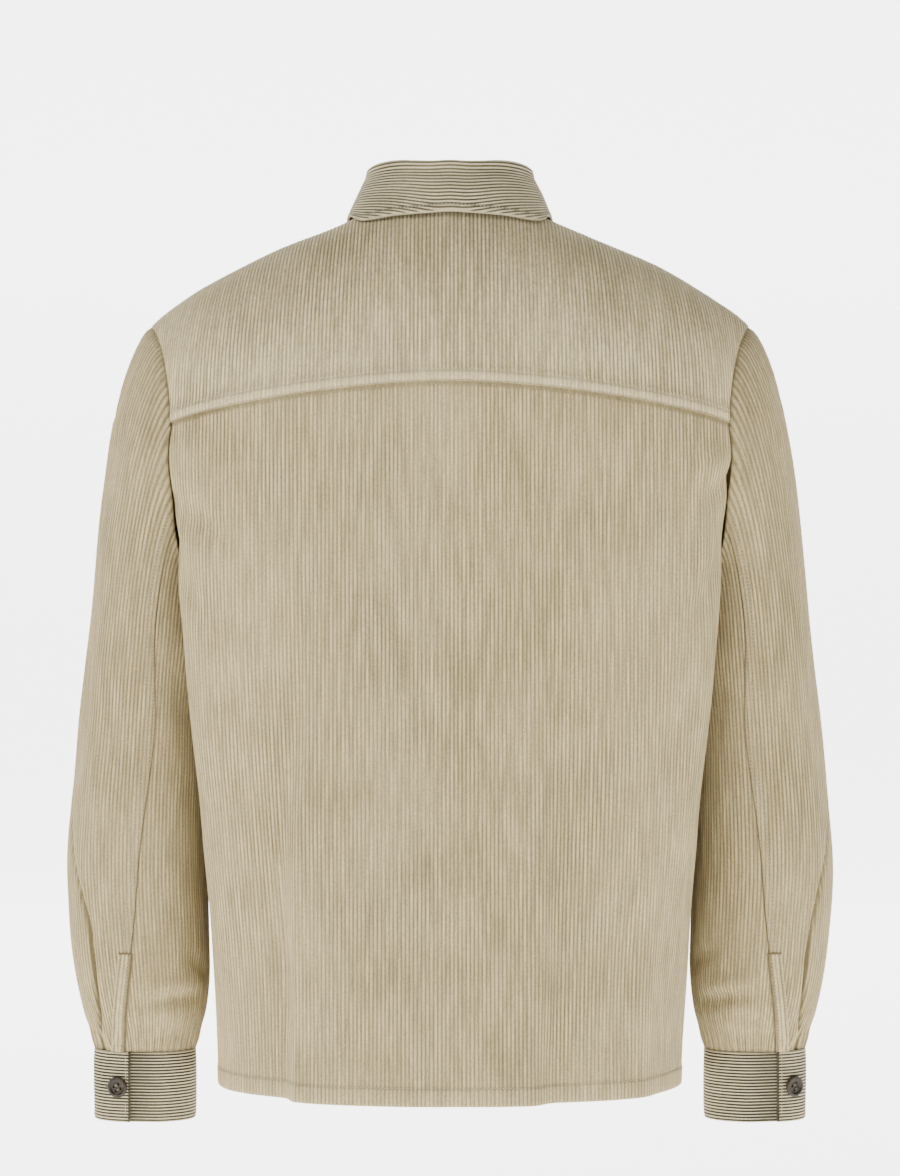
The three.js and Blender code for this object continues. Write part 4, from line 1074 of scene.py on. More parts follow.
def neck_at(run):
    point = np.stack([np.interp(run, NECK_RUN, NECK_POINTS[:, k]) for k in range(3)], axis=-1)
    out = np.stack([np.interp(run, NECK_RUN, NECK_OUT[:, k]) for k in range(3)], axis=-1)
    return point, unit(out)


def stand_point(run, share):
    point, out = neck_at(run)
    up = -STAND["sink"] + STAND["height"] * share
    moved = point + out * (-STAND["inset"] - STAND["lean"] * share)[..., None]
    return moved + up[..., None] * np.array([0, 0, 1.0]), out


def make_stand():
    """The band that the collar is sewn to, standing round the neck."""
    run = np.linspace(8, NECK_RUN[-1] - 8, 170)
    share = np.linspace(1, 0, 40)[:, None]
    run, share = np.broadcast_arrays(run, share)
    base, out = stand_point(run, share)
    rib = wale(share * STAND["height"] / 3.2)
    outer = base + out * (0.5 * (rib - 1))[..., None]
    return wall("collar_stand_cloth", outer, base - out * STAND["thick"], rib, every=2)


COLLAR_WALE = 3.2
COLLAR_SEAM = 20.0


def collar_profiles(run):
    """For each place along the neck, the line of the collar's outer face from its seam in the
    stand over the roll and down the fall to its edge: a smooth curve through set points."""
    point, out = neck_at(run)
    total = NECK_RUN[-1] - 2 * COLLAR_SEAM
    half = total / 2
    t = np.abs(run - COLLAR_SEAM - half) / half
    side = np.where(run - COLLAR_SEAM < half, 1.0, -1.0)
    top, _ = stand_point(run, np.ones_like(run))
    up = np.array([0, 0, 1.0])
    crown = (COLLAR_CROWN * np.exp(-((t / 0.3) ** 2)))[:, None] * up
    roll = [top + out * o + up * u + crown * w for (o, u), w in zip(COLLAR_ROLL, (0.2, 0.6, 1, 0.9, 0.6))]
    girth, angle, lift = (curve(COLLAR, "t", n, t) for n in ("girth", "angle", "lift"))
    edge_base = over_shoulder(side * girth, angle)
    edge_out = normals(over_shoulder, side * girth, angle, 1.0, 1.0)
    edge = edge_base + edge_out * (lift + COLLAR_THICK)[:, None]
    fall = []
    for share in (0.2, 0.4, 0.6, 0.8, 1.0):
        bulge = COLLAR_BULGE * math.sin(math.pi * share)
        fall.append(roll[-1] + (edge - roll[-1]) * share + out * bulge)
    knots = np.stack(roll + fall, axis=0)
    before = np.concatenate([knots[:1], knots[:-1]])
    after = np.concatenate([knots[1:], knots[-1:]])
    slope = (after - before) / 2
    pieces = []
    k = np.linspace(0, 1, 13)[:-1, None, None]
    k2, k3 = k * k, k * k * k
    for i in range(len(knots) - 1):
        pieces.append(
            (2 * k3 - 3 * k2 + 1) * knots[i]
            + (k3 - 2 * k2 + k) * slope[i]
            + (3 * k2 - 2 * k3) * knots[i + 1]
            + (k3 - k2) * slope[i + 1]
        )
    pieces.append(knots[-1:])
    return np.concatenate(pieces)


def collar_surface(run, distance):
    """The collar's outer face by the run along the neck and the distance from its seam."""
    lines = collar_profiles(run)
    steps = run_of(np.swapaxes(lines, 0, 1))
    length = steps[:, -1]
    wanted = np.minimum(distance, length)
    points = np.empty(wanted.shape + (3,))
    for column in range(wanted.shape[1]):
        for axis in range(3):
            points[:, column, axis] = np.interp(wanted[:, column], steps[column], lines[:, column, axis])
    return points, wanted, length


def make_collar():
    """The collar: ribs run along it, one at each few millimetres from its seam, up to its edge,
    which is turned in and stitched a little way from the edge."""
    ends = np.array([0, 0.5, 1.2, 3, 5.6, 6.5, 7.4])
    whole = NECK_RUN[-1] - 2 * COLLAR_SEAM
    run = COLLAR_SEAM + np.concatenate([ends, np.linspace(9, whole - 9, 190), whole - ends[::-1]])
    _, _, length = collar_surface(run, np.zeros((1, len(run))))
    rows = np.arange(0, float(length.max()) + 0.8, COLLAR_WALE / WALE_STEPS)[:, None] * np.ones_like(run)
    points, held, length = collar_surface(run, rows)
    along = np.gradient(points, axis=1)
    down = np.empty_like(points)
    step = 0.8
    beyond, _, _ = collar_surface(run, np.maximum(held - step, 0))
    ahead, _, _ = collar_surface(run, np.minimum(np.maximum(held - step, 0) + 2 * step, length))
    down = ahead - beyond
    out = unit(np.cross(down, along))
    to_edge = length - held
    to_end = np.minimum(run - run[0], run[-1] - run) * 0.85
    rim = np.minimum(to_edge, to_end)
    rib = wale(held / COLLAR_WALE, 0.8)
    raised = -0.9 * (1 - smooth(0, 1.8, rim)) - 0.7 * groove(rim - 6.5, 0.9)
    raised += slack(run * np.ones_like(held), held * 2, 41, 60, 0.8) * smooth(12, 30, held)
    outer = points + out * (raised + 0.6 * (rib - 0.5))[..., None]
    inner = points - out * COLLAR_THICK
    soft = smooth(0.8, 2.6, rim)
    # Towards the rims the painted groove shade fades to the near-ridge colour; painted shade along the stitch line.
    paint = rib * soft + 0.85 * (1 - soft) - 0.3 * groove(rim - 6.5, 0.8)
    piece = wall("collar_cloth", outer, inner, paint, every=2)
    return piece


# Stitches and buttons
STITCH_PITCH, STITCH_LENGTH, STITCH_RADIUS = 3.2, 2.5, 0.3


def stitches(name, lines, pitch=STITCH_PITCH, long=STITCH_LENGTH, radius=STITCH_RADIUS):
    """Runs of stitches along lines of points with their outward directions. Each stitch is a
    spindle of four sides: a ring of points at each of three places and a point at each end,
    bowed down into the cloth at its ends."""
    stations = np.array([-0.5, -0.3, 0.0, 0.3, 0.5])
    size = np.array([0.0, 0.8, 1.0, 0.8, 0.0])
    sink = np.array([-0.35, -0.08, 0.0, -0.08, -0.35])
    turn = np.array([0, 0.5, 1, 1.5]) * math.pi
    all_points, all_faces, base = [], [], 0
    for points, out in lines:
        run = run_of(points)
        if run[-1] < pitch:
            continue
        count = max(1, int(run[-1] // pitch))
        centre = (np.arange(count) + 0.5) * run[-1] / count

        def at(distance, values):
            return np.stack([np.interp(distance, run, values[:, k]) for k in range(3)], axis=-1)

        middle, normal = at(centre, points), unit(at(centre, out))
        along = unit(at(centre + 0.5, points) - at(centre - 0.5, points))
        beside = unit(np.cross(normal, along))
        rings = []
        for s, w, d in zip(stations, size, sink):
            spine = middle + along * (s * long) + normal * d
            if w == 0:
                rings.append(spine[:, None])
            else:
                offset = (
                    beside[:, None] * np.cos(turn)[None, :, None] + normal[:, None] * np.sin(turn)[None, :, None]
                )
                rings.append(spine[:, None] + offset * radius * w)
        one = np.concatenate(rings, axis=1)
        faces = [(0, 1 + (k + 1) % 4, 1 + k) for k in range(4)]
        for ring in range(2):
            a, b = 1 + 4 * ring, 5 + 4 * ring
            faces += [(a + k, a + (k + 1) % 4, b + (k + 1) % 4, b + k) for k in range(4)]
        faces += [(9 + k, 9 + (k + 1) % 4, 13) for k in range(4)]
        for n in range(count):
            offset = base + n * 14
            all_faces += [tuple(v + offset for v in face) for face in faces]
        all_points.append(one.reshape(-1, 3))
        base += count * 14
    points = np.concatenate(all_points)
    mesh = bpy.data.meshes.new(name)
    mesh.from_pydata(points * 0.001, [], all_faces)
    work = bmesh.new()
    work.from_mesh(mesh)
    bmesh.ops.recalc_face_normals(work, faces=work.faces)
    work.to_mesh(mesh)
    work.free()
    mesh.polygons.foreach_set("use_smooth", np.ones(len(mesh.polygons), bool))
    piece = bpy.data.objects.new(name, mesh)
    bpy.context.scene.collection.objects.link(piece)
    return piece


def line_on(surface, first, second, raised):
    base, out, move = surface(first, second)
    return base + out * (move + raised)[..., None], out


def flip(lines):
    return [(mirrored(points), mirrored(out)) for points, out in lines]


def hem_lines():
    drop = HEM + HEM_DEPTH - CHEST
    lines = []
    girth = np.arange(-float(edge_girth(1, -1, drop)) + 3, float(edge_girth(1, 1, drop)) - 3, 1.0)
    lines.append(line_on(trunk_surface(1), girth, np.full_like(girth, drop), 0.35))
    girth = np.arange(-LAP, float(edge_girth(-1, 1, drop)) - 3, 1.0)
    points, out = line_on(trunk_surface(-1), girth, np.full_like(girth, drop), 0.35)
    points = points + out * (LAP_RAISE * (1 - smooth(LAP * 1.2, LAP * 2.4, girth)))[:, None]
    lines.append((points, out))
    girth = np.arange(-float(edge_girth(-1, -1, drop)) + 3, -LAP - 2, 1.0)
    lines.append(line_on(trunk_surface(-1), girth, np.full_like(girth, drop), 0.35))
    return lines


def yoke_lines():
    lines = []
    reach = SEAMS[1]["low"][0][-1]
    girth = np.arange(-SEAMS[-1]["low"][0][-1] + 1, reach - 1, 1.0)
    low = seam_angle("low", girth)
    rate = np.linalg.norm(over_shoulder(girth, low + 2) - over_shoulder(girth, low), axis=-1) / 2
    for distance in YOKE_STITCHES:
        lines.append(line_on(yoke_surface, girth, low + distance / rate, 1.15))
    for side in (1, -1):
        near = side * (abs(girth[-1] if side > 0 else girth[0]) - 9)
        share = np.arange(0, 9.1, 0.5)
        here = np.full_like(share, near)
        start = seam_angle("low", here)
        local = np.interp(near, girth, rate)
        lines.append(line_on(yoke_surface, here, start + share / local, 1.15))
    return lines


def front_lines():
    """Along the upper front's edge, 6.5 millimetres in, and along the strip's inner side, from
    just below the neck seam to the hem."""
    lines = []
    for girth, raised in ((-LAP + 6.5, LAP_RAISE + 0.1), (LAP, LAP_RAISE + 0.3)):
        drop = np.arange(HEM - CHEST + 3, float(neck_angle(-1, np.array([girth]))[0]) - 4, 1.0)
        lines.append(line_on(trunk_surface(-1), np.full_like(drop, girth), drop, raised))
    return lines


def sleeve_lines(side):
    surface = sleeve_surface(side)
    lines = []
    way = np.concatenate([np.arange(0.12, 1, 0.01), np.arange(1, 1 + (SLEEVE_TOP - VENT_TOP) / 369.4, 0.003)])
    z = SLEEVE_TOP + np.maximum(way - 1, 0) * (SLEEVE_END - SLEEVE_TOP)
    around = np.interp(SLEEVE_TOP - z, np.arange(len(SLEEVE_ROUND)), SLEEVE_ROUND)
    for row in SEAM_ROWS:
        lines.append(line_on(surface, seam_share(z) - row / around, way, 0.95))
    z = np.arange(VENT_TOP - 2, SLEEVE_END + 2, -1.0)
    way = 1 + (SLEEVE_TOP - z) / (SLEEVE_TOP - SLEEVE_END)
    around = np.interp(SLEEVE_TOP - z, np.arange(len(SLEEVE_ROUND)), SLEEVE_ROUND)
    for across in (-VENT_OUTSIDE + 1.8, VENT_INSIDE - 1.8):
        lines.append(line_on(surface, seam_share(z) + across / around, way, 2.5))
    for height in (VENT_TOP - 2.0, VENT_TOP - 15.0):
        across = np.arange(-VENT_OUTSIDE + 1.8, VENT_INSIDE - 1.7, 0.4)
        here = 1 + (SLEEVE_TOP - height) / (SLEEVE_TOP - SLEEVE_END)
        share = seam_share(height) + across / 330.0
        lines.append(line_on(surface, share, np.full_like(share, here), 2.5))
    return lines if side > 0 else flip(lines)


def cuff_lines(side):
    end = CUFF_END[side]
    lines = []
    for z in (CUFF_TOP - 3.5, CUFF_BOTTOM + 3.5):
        share = np.arange(end - 0.93, end - 0.013, 0.002)
        base, out = cuff_place(share, np.full_like(share, z))
        lines.append((base + out * 0.1, out))
    z = np.arange(CUFF_TOP - 3.5, CUFF_BOTTOM + 3.5, -1.0)
    base, out = cuff_place(np.full_like(z, end - 3.5 / CUFF_ROUND[0]), z)
    lines.append((base + out * 0.1, out))
    return lines if side > 0 else flip(lines)


def collar_lines():
    whole = NECK_RUN[-1] - 2 * COLLAR_SEAM
    run = COLLAR_SEAM + np.linspace(8, whole - 8, 260)
    _, _, length = collar_surface(run, np.zeros((1, len(run))))
    row, _, _ = collar_surface(run, (length - 6.5)[None, :])
    above, _, _ = collar_surface(run, (length - 8.5)[None, :])
    below, _, _ = collar_surface(run, (length - 4.5)[None, :])
    along = np.gradient(row[0], axis=0)
    out = unit(np.cross(below[0] - above[0], along))
    lines = [(row[0] + out * -0.15, out)]
    for at in (7.6, whole - 7.6):
        place = np.full(120, COLLAR_SEAM + at)
        _, _, length = collar_surface(place[:1], np.zeros((1, 1)))
        distance = np.linspace(8, float(length[0]) - 6.5, 120)
        near = [collar_surface(np.array([COLLAR_SEAM + at + d]), distance[:, None])[0][:, 0] for d in (-1, 0, 1)]
        down = np.gradient(near[1], axis=0)
        out = unit(np.cross(down, near[2] - near[0]))
        lines.append((near[1] + out * -0.15, out))
    return lines


BUTTON_RADIUS, BUTTON_RIM, BUTTON_WELL = 9.0, 2.1, 1.1


def button(name, at, out, radius, thick=3.2, tilt=0.0):
    """A button turned from horn: its height over a disc is a rounded rim, a dished well and four
    holes, each a bell-shaped pit. Below it is a flat base with a rounded edge."""
    rings = np.concatenate([[0.0001], np.linspace(0.06, 0.7, 18), np.linspace(0.74, 1.0, 12)]) * radius
    turn = np.linspace(0, 2 * math.pi, 64, endpoint=False)
    r, a = np.meshgrid(rings, turn, indexing="ij")
    rim_middle = radius - BUTTON_RIM / 2
    height = thick - BUTTON_WELL * (1 - smooth(radius - BUTTON_RIM - 1.6, radius - BUTTON_RIM, r))
    height -= 0.9 * (np.clip(r - rim_middle, 0, None) / (radius - rim_middle)) ** 2
    height += 0.25 * (r / radius) ** 2 * (r < radius - BUTTON_RIM)
    x, y = r * np.cos(a), r * np.sin(a)
    hole_at = radius * 0.235
    for hx, hy in ((1, 1), (1, -1), (-1, 1), (-1, -1)):
        height -= 1.6 * np.exp(-(((np.hypot(x - hx * hole_at, y - hy * hole_at)) / (radius * 0.115)) ** 4))
    low_r = np.array([1.0, 0.97, 0.86, 0.0001])[:, None] * radius * np.ones_like(turn)
    low_h = np.array([thick * 0.5, 0.5, 0, 0])[:, None] * np.ones_like(turn)
    grid_x = np.concatenate([x, low_r * np.cos(turn)])
    grid_y = np.concatenate([y, low_r * np.sin(turn)])
    grid_h = np.concatenate([height, low_h])
    rows, columns = grid_x.shape
    n = unit(np.asarray(out, float))
    side = unit(np.cross([0, 0, 1.0], n))
    up = np.cross(n, side)
    side, up = side * math.cos(tilt) + up * math.sin(tilt), up * math.cos(tilt) - side * math.sin(tilt)
    points = at + grid_x[..., None] * side + grid_y[..., None] * up + grid_h[..., None] * n
    j, i = np.meshgrid(np.arange(rows - 1), np.arange(columns), indexing="ij")
    a0, a1 = j * columns + i, j * columns + (i + 1) % columns
    faces = np.stack([a0, a0 + columns, a1 + columns, a1], axis=-1).reshape(-1, 4).tolist()
    piece = finish_mesh(name, points.reshape(-1, 3), faces, merge=0.002, sharp=60)
    lines = []
    for hy in (1, -1):
        across = np.linspace(-hole_at, hole_at, 12)
        rise = 0.55 - 0.45 * (across / hole_at) ** 4
        line = at + side * across[:, None] + up * (hy * hole_at * 0.95) + n * (thick - BUTTON_WELL + rise)[:, None]
        for shift in (-0.42, 0.0, 0.42):
            lines.append((line + up * shift, np.repeat(n[None], 12, axis=0)))
    return piece, lines


def buttonhole_bar(side):
    """The threads that end a cuff's buttonhole, beside the button."""
    past = np.linspace(BUTTON_RADIUS + 0.6, BUTTON_RADIUS + 4.6, 12)
    share = CUFF_END[side] - (CUFF_BUTTON[side] + past) / CUFF_ROUND[0]
    lines = []
    for rise in (-0.5, 0.0, 0.5):
        base, out = cuff_place(share, np.full_like(share, (CUFF_TOP + CUFF_BOTTOM) / 2 + rise))
        lines.append((base + out * 0.8, out))
    return lines if side > 0 else flip(lines)


def button_places():
    places = []
    for k, z in enumerate(FRONT_BUTTONS):
        if z > CHEST:
            drop = float(angle_at_height(-1, np.array([0.0]), z)[0])
            below = float(angle_at_height(-1, np.array([0.0]), z - 1)[0])
        else:
            drop, below = z - CHEST, z - 1 - CHEST
        at = trunk(-1, np.array([0.0]), np.array([drop]))[0]
        next_at = trunk(-1, np.array([0.0]), np.array([below]))[0]
        out = unit(np.array([0, next_at[2] - at[2], at[1] - next_at[1]]))
        places.append((f"button_front_{k + 1}", at + out * (LAP_RAISE + 0.4), out, BUTTON_RADIUS))
    middle, _ = stand_point(np.array([LAP + 0.0]), np.array([0.5]))
    out = unit(np.array([0, -STAND["height"], STAND["lean"]]))
    places.append(("button_collar", middle[0] + out * 0.4, out, 7.0))
    for side, word in ((1, "left"), (-1, "right")):
        z = np.array([(CUFF_TOP + CUFF_BOTTOM) / 2])
        base, out = cuff_place(np.array([CUFF_END[side] - CUFF_BUTTON[side] / CUFF_ROUND[0]]), z)
        turn = np.array([side, 1.0, 1.0])
        places.append((f"button_cuff_{word}", (base[0] + out[0] * 0.4) * turn, out[0] * turn, BUTTON_RADIUS))
    return places


# Materials
def linear(red, green, blue):
    """A screen colour, 0 to 255, as the light it stands for."""
    c = np.array([red, green, blue]) / 255
    return (*np.where(c <= 0.04045, c / 12.92, ((c + 0.055) / 1.055) ** 2.4), 1.0)


def new_material(name):
    material = bpy.data.materials.new(name)
    material.use_nodes = True
    nodes, links = material.node_tree.nodes, material.node_tree.links
    shader = nodes["Principled BSDF"]
    return material, nodes, links, shader


def noise(nodes, links, vector, scale, detail=3.0, rough=0.55):
    node = nodes.new("ShaderNodeTexNoise")
    node.inputs["Scale"].default_value = scale
    node.inputs["Detail"].default_value = detail
    node.inputs["Roughness"].default_value = rough
    links.new(vector, node.inputs["Vector"])
    return node.outputs["Fac"]


def ranged(nodes, links, value, low, high, to_low, to_high):
    node = nodes.new("ShaderNodeMapRange")
    links.new(value, node.inputs["Value"])
    for key, number in (("From Min", low), ("From Max", high), ("To Min", to_low), ("To Max", to_high)):
        node.inputs[key].default_value = number
    return node.outputs["Result"]


def mixed(nodes, links, factor, first, second, blend="MIX"):
    node = nodes.new("ShaderNodeMix")
    node.data_type = "RGBA"
    node.blend_type = blend
    for socket, value in ((node.inputs["Factor"], factor), (node.inputs[6], first), (node.inputs[7], second)):
        if isinstance(value, (int, float, tuple)):
            socket.default_value = value
        else:
            links.new(value, socket)
    return node.outputs[2]


def corduroy(name, ridge, groove_shade_colour, worn, low, high, filled, streak_turn):
    """Cotton pile: the colour goes from the groove colour, painted shade in the grooves over the
    cloth's own darker base, to the ridge colour by the rib attribute, the ribs' own height with
    painted light and shade added. It is cloudy over hands' breadths, streaky along the ribs and
    speckled by the pile, which also stands up in the bump and here and there fills the grooves,
    taking away some of the painted groove shade. The nap's sheen lightens it towards its turned edges."""
    material, nodes, links, shader = new_material(name)
    place = nodes.new("ShaderNodeTexCoord").outputs["Object"]
    rib = nodes.new("ShaderNodeAttribute")
    rib.attribute_name = "rib"
    stretch = nodes.new("ShaderNodeMapping")
    stretch.inputs["Scale"].default_value = streak_turn
    links.new(place, stretch.inputs["Vector"])
    patch = ranged(nodes, links, noise(nodes, links, place, 14, 4, 0.6), 0.35, 0.65, 0.35 * filled, filled)
    depth = ranged(nodes, links, rib.outputs["Fac"], low, high, 0, 1)
    fuller = nodes.new("ShaderNodeMath")
    fuller.operation = "MULTIPLY_ADD"
    fuller.use_clamp = True
    remainder = ranged(nodes, links, depth, 0, 1, 1, 0)
    links.new(remainder, fuller.inputs[0])
    links.new(patch, fuller.inputs[1])
    links.new(depth, fuller.inputs[2])
    colour = mixed(nodes, links, fuller.outputs[0], linear(*groove_shade_colour), linear(*ridge))
    cloud = ranged(nodes, links, noise(nodes, links, place, 9, 4), 0.3, 0.7, 0, 0.18)
    colour = mixed(nodes, links, cloud, colour, linear(*worn))
    streak = ranged(nodes, links, noise(nodes, links, stretch.outputs["Vector"], 420, 2), 0.3, 0.7, 0.84, 1.12)
    pile = ranged(nodes, links, noise(nodes, links, place, 620, 3, 0.75), 0.28, 0.72, 0.72, 1.2)
    both = nodes.new("ShaderNodeMath")
    both.operation = "MULTIPLY"
    links.new(streak, both.inputs[0])
    links.new(pile, both.inputs[1])
    colour = mixed(nodes, links, 1.0, colour, both.outputs[0], "MULTIPLY")
    links.new(colour, shader.inputs["Base Color"])
    shader.inputs["Roughness"].default_value = 0.94
    shader.inputs["Specular IOR Level"].default_value = 0.18
    shader.inputs["Sheen Weight"].default_value = 0.16
    shader.inputs["Sheen Roughness"].default_value = 0.5
    shader.inputs["Sheen Tint"].default_value = linear(226, 214, 182)
    bump = nodes.new("ShaderNodeBump")
    bump.inputs["Strength"].default_value = 0.55
    bump.inputs["Distance"].default_value = 0.0004
    links.new(noise(nodes, links, place, 1500, 4, 0.7), bump.inputs["Height"])
    links.new(bump.outputs["Normal"], shader.inputs["Normal"])
    return material


def horn():
    """Dark horn: brown and near-black in uneven drawn-out clouds, with fine lathe scratches."""
    material, nodes, links, shader = new_material("horn")
    place = nodes.new("ShaderNodeTexCoord").outputs["Object"]
    stretch = nodes.new("ShaderNodeMapping")
    stretch.inputs["Scale"].default_value = (1, 1, 0.35)
    stretch.inputs["Rotation"].default_value = (0.3, 0.6, 0.2)
    links.new(place, stretch.inputs["Vector"])
    cloud = ranged(nodes, links, noise(nodes, links, stretch.outputs["Vector"], 190, 5), 0.32, 0.68, 0, 1)
    colour = mixed(nodes, links, cloud, linear(16, 12, 5), linear(50, 39, 21))
    fleck = ranged(nodes, links, noise(nodes, links, place, 620, 3), 0.58, 0.72, 0, 0.5)
    colour = mixed(nodes, links, fleck, colour, linear(84, 68, 42))
    links.new(colour, shader.inputs["Base Color"])
    rough = ranged(nodes, links, noise(nodes, links, place, 900, 2), 0.3, 0.7, 0.34, 0.5)
    links.new(rough, shader.inputs["Roughness"])
    shader.inputs["Specular IOR Level"].default_value = 0.3
    bump = nodes.new("ShaderNodeBump")
    bump.inputs["Strength"].default_value = 0.25
    bump.inputs["Distance"].default_value = 0.0002
    links.new(noise(nodes, links, place, 1100, 2), bump.inputs["Height"])
    links.new(bump.outputs["Normal"], shader.inputs["Normal"])
    return material


def thread(name, light, dark):
    """Sewing thread: two plies whose twist shows as fine diagonal bands."""
    material, nodes, links, shader = new_material(name)
    place = nodes.new("ShaderNodeTexCoord").outputs["Object"]
    wave = nodes.new("ShaderNodeTexWave")
    wave.bands_direction = "DIAGONAL"
    wave.inputs["Scale"].default_value = 420
    wave.inputs["Distortion"].default_value = 1.5
    links.new(place, wave.inputs["Vector"])
    links.new(mixed(nodes, links, wave.outputs["Fac"], linear(*dark), linear(*light)), shader.inputs["Base Color"])
    shader.inputs["Roughness"].default_value = 0.7
    shader.inputs["Sheen Weight"].default_value = 0.15
    return material


# The shacket
LENGTHWISE, CROSSWISE = (1, 1, 0.06), (0.06, 0.06, 1)
# The groove colours are painted shade in the grooves, near black on the collar and cuffs.
body_cord = corduroy("body_corduroy", (181, 165, 124), (96, 83, 54), (168, 152, 111), 0.3, 0.94, 0.42, LENGTHWISE)
yoke_cord = corduroy("yoke_corduroy", (200, 184, 143), (100, 88, 58), (180, 164, 123), 0.32, 0.95, 0.42, LENGTHWISE)
sleeve_cord = corduroy("sleeve_corduroy", (174, 158, 118), (92, 80, 51), (156, 139, 101), 0.32, 0.95, 0.42, LENGTHWISE)
collar_cord = corduroy("collar_corduroy", (212, 198, 159), (16, 12, 4), (190, 176, 136), 0.62, 1.0, 0.1, CROSSWISE)
cuff_cord = corduroy("cuff_corduroy", (208, 195, 158), (8, 6, 2), (182, 169, 132), 0.66, 1.0, 0.04, CROSSWISE)
horn_material = horn()
seam_thread = thread("seam_thread", (188, 176, 148), (142, 131, 106))
button_thread = thread("button_thread", (120, 106, 82), (70, 60, 44))

made = []


def keep(piece, material, slot, *nodes):
    piece.data.materials.clear()
    piece.data.materials.append(material)
    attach(piece, "root")
    if nodes:
        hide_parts(*nodes)
    made.append(piece)
    return piece


back_girths = rib_columns(-330, 330, WALE / WALE_STEPS)[::-1]
limit = max(float(edge_girth(1, side, np.array([d])).max()) for side in (1, -1) for d in (0, -60, -144, -300, -553)) + 2
back_girths = back_girths[np.abs(back_girths) < limit]
back_piece, _ = trunk_panel(
    "back_cloth",
    1,
    back_girths,
    clamp_to_panel(1, None, None),
    lambda girth: seam_angle("low", girth),
    [0, 1.5, 5],
    66,
    back_extra,
)
keep(back_piece, body_cord, "corduroy", "back_panel")
yoke_piece = keep(make_yoke(), yoke_cord, "corduroy", "yoke")
stand_piece = keep(make_stand(), collar_cord, "corduroy", "collar_stand")
collar_piece = keep(make_collar(), collar_cord, "corduroy", "collar")

button_stitches = []
for name, at, out, radius in button_places():
    piece, lines = button(f"{name}_turned", at, out, radius, tilt=0.5)
    keep(piece, horn_material, "horn", name)
    button_stitches += lines
for side in (1, -1):
    button_stitches += buttonhole_bar(side)
keep(stitches("button_threads", button_stitches, 3.4, 3.6, 0.3), button_thread, "corduroy")
hem_rows = keep(stitches("hem_stitches", hem_lines()), seam_thread, "corduroy")
yoke_rows = keep(stitches("yoke_stitches", yoke_lines()), seam_thread, "corduroy")
front_rows = keep(stitches("front_stitches", front_lines()), seam_thread, "corduroy")
collar_rows = keep(stitches("collar_stitches", collar_lines()), seam_thread, "corduroy")

for side, word in ((1, "left"), (-1, "right")):
    reach = max(float(edge_girth(-1, side, np.array([d]))[0]) for d in (0.0, -60.0, -144.0, -300.0, -553.0))
    reach = max(reach, SHOULDER_TIP) + 2
    ends = (-LAP - 3, reach) if side > 0 else (-reach, LAP + 3)
    clamped = clamp_to_panel(-1, -LAP, None) if side > 0 else clamp_to_panel(-1, None, LAP)
    front, _ = trunk_panel(
        f"front_{word}_cloth",
        -1,
        rib_columns(*ends, WALE / WALE_STEPS),
        clamped,
        lambda girth: seam_angle("front", girth),
        [0, 1.5, 5],
        72,
        front_extra(side, side > 0),
    )
    keep(front, body_cord, "corduroy", f"front_{word}")
    sleeve = keep(make_sleeve(f"sleeve_{word}_cloth", side), sleeve_cord, "corduroy", f"sleeve_{word}")
    placket = keep(
        make_vent(f"sleeve_placket_{word}_cloth", side), sleeve_cord, "corduroy", f"sleeve_placket_{word}"
    )
    cuff = keep(make_cuff(f"cuff_{word}_cloth", side), cuff_cord, "corduroy", f"cuff_{word}")
    sleeve_rows = keep(stitches(f"sleeve_{word}_stitches", sleeve_lines(side)), seam_thread, "corduroy")
    cuff_rows = keep(stitches(f"cuff_{word}_stitches", cuff_lines(side)), seam_thread, "corduroy")


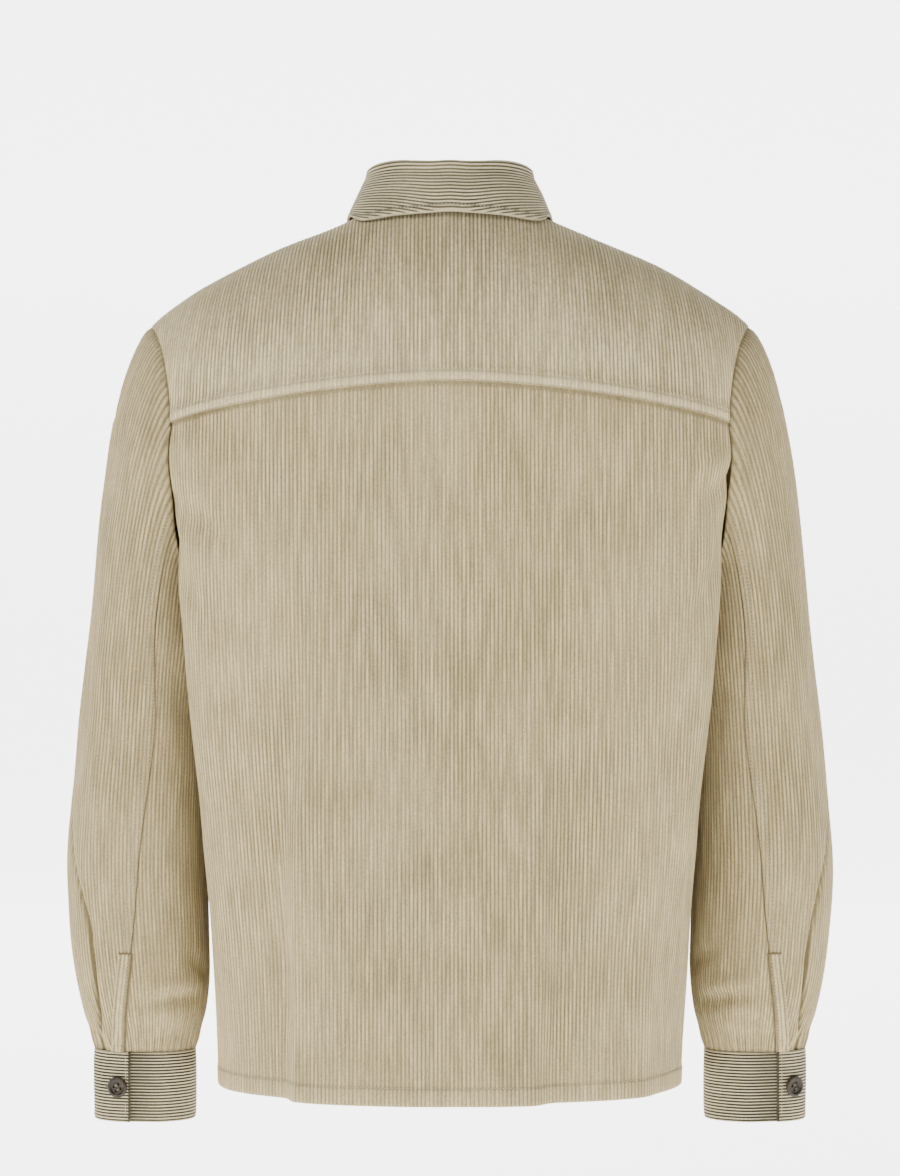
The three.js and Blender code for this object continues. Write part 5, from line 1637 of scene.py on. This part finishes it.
# Stage
def stage_floor():
    """A pale floor that curves up into a backdrop: a profile carried along X."""
    turn = np.linspace(0, math.pi / 2, 24)
    y = np.concatenate([[5.0], -3.5 - 1.5 * np.sin(turn), [-5.0]])
    z = np.concatenate([[-0.98], -0.98 + 1.5 * (1 - np.cos(turn)), [6.0]])
    x = np.linspace(-8, 8, 2)[:, None]
    points = np.stack(np.broadcast_arrays(x, y, z), axis=-1).reshape(-1, 3)
    count = len(y)
    faces = [(k, k + 1, count + k + 1, count + k) for k in range(count - 1)]
    mesh = bpy.data.meshes.new("floor")
    mesh.from_pydata(points, [], faces)
    mesh.polygons.foreach_set("use_smooth", np.ones(len(mesh.polygons), bool))
    floor = bpy.data.objects.new("floor", mesh)
    bpy.context.scene.collection.objects.link(floor)
    material, nodes, links, shader = new_material("floor_paint")
    shader.inputs["Base Color"].default_value = (0.93, 0.93, 0.93, 1)
    shader.inputs["Roughness"].default_value = 0.9
    shader.inputs["Emission Color"].default_value = (1, 1, 1, 1)
    shader.inputs["Emission Strength"].default_value = 3.6
    mesh.materials.append(material)


stage_floor()


def soft_light(name, place, aim, size, watts):
    data = bpy.data.lights.new(name, "AREA")
    data.shape = "RECTANGLE"
    data.size, data.size_y = size
    data.energy = watts
    lamp = bpy.data.objects.new(name, data)
    lamp.location = place
    toward = np.array(aim, float) - np.array(place, float)
    from mathutils import Vector

    lamp.rotation_euler = Vector(toward).to_track_quat("-Z", "Y").to_euler()
    bpy.context.scene.collection.objects.link(lamp)


soft_light("key", (2.3, 1.7, 1.5), (0, 0, -0.35), (1.1, 1.1), 78)
soft_light("fill", (-2.2, 2.0, 0.1), (0, 0, -0.4), (1.6, 1.6), 24)
soft_light("front", (0.6, -2.6, 1.4), (0, 0, -0.35), (2.0, 2.0), 40)
world = bpy.data.worlds.new("studio")
world.use_nodes = True
world.node_tree.nodes["Background"].inputs["Color"].default_value = (1, 1, 1, 1)
world.node_tree.nodes["Background"].inputs["Strength"].default_value = 0.2
bpy.context.scene.world = world

camera_data = bpy.data.cameras.new("camera")
camera_data.lens = 93.1
camera_data.sensor_width = 36
camera = bpy.data.objects.new("camera", camera_data)
camera.location = (0, 2.6, -0.3188)
camera.rotation_euler = (math.radians(90), 0, math.radians(180))
bpy.context.scene.collection.objects.link(camera)
bpy.context.scene.camera = camera

triangles = {}
for piece in made:
    piece.data.calc_loop_triangles()
    triangles[piece.name] = len(piece.data.loop_triangles)
print("triangles", sum(triangles.values()), triangles)
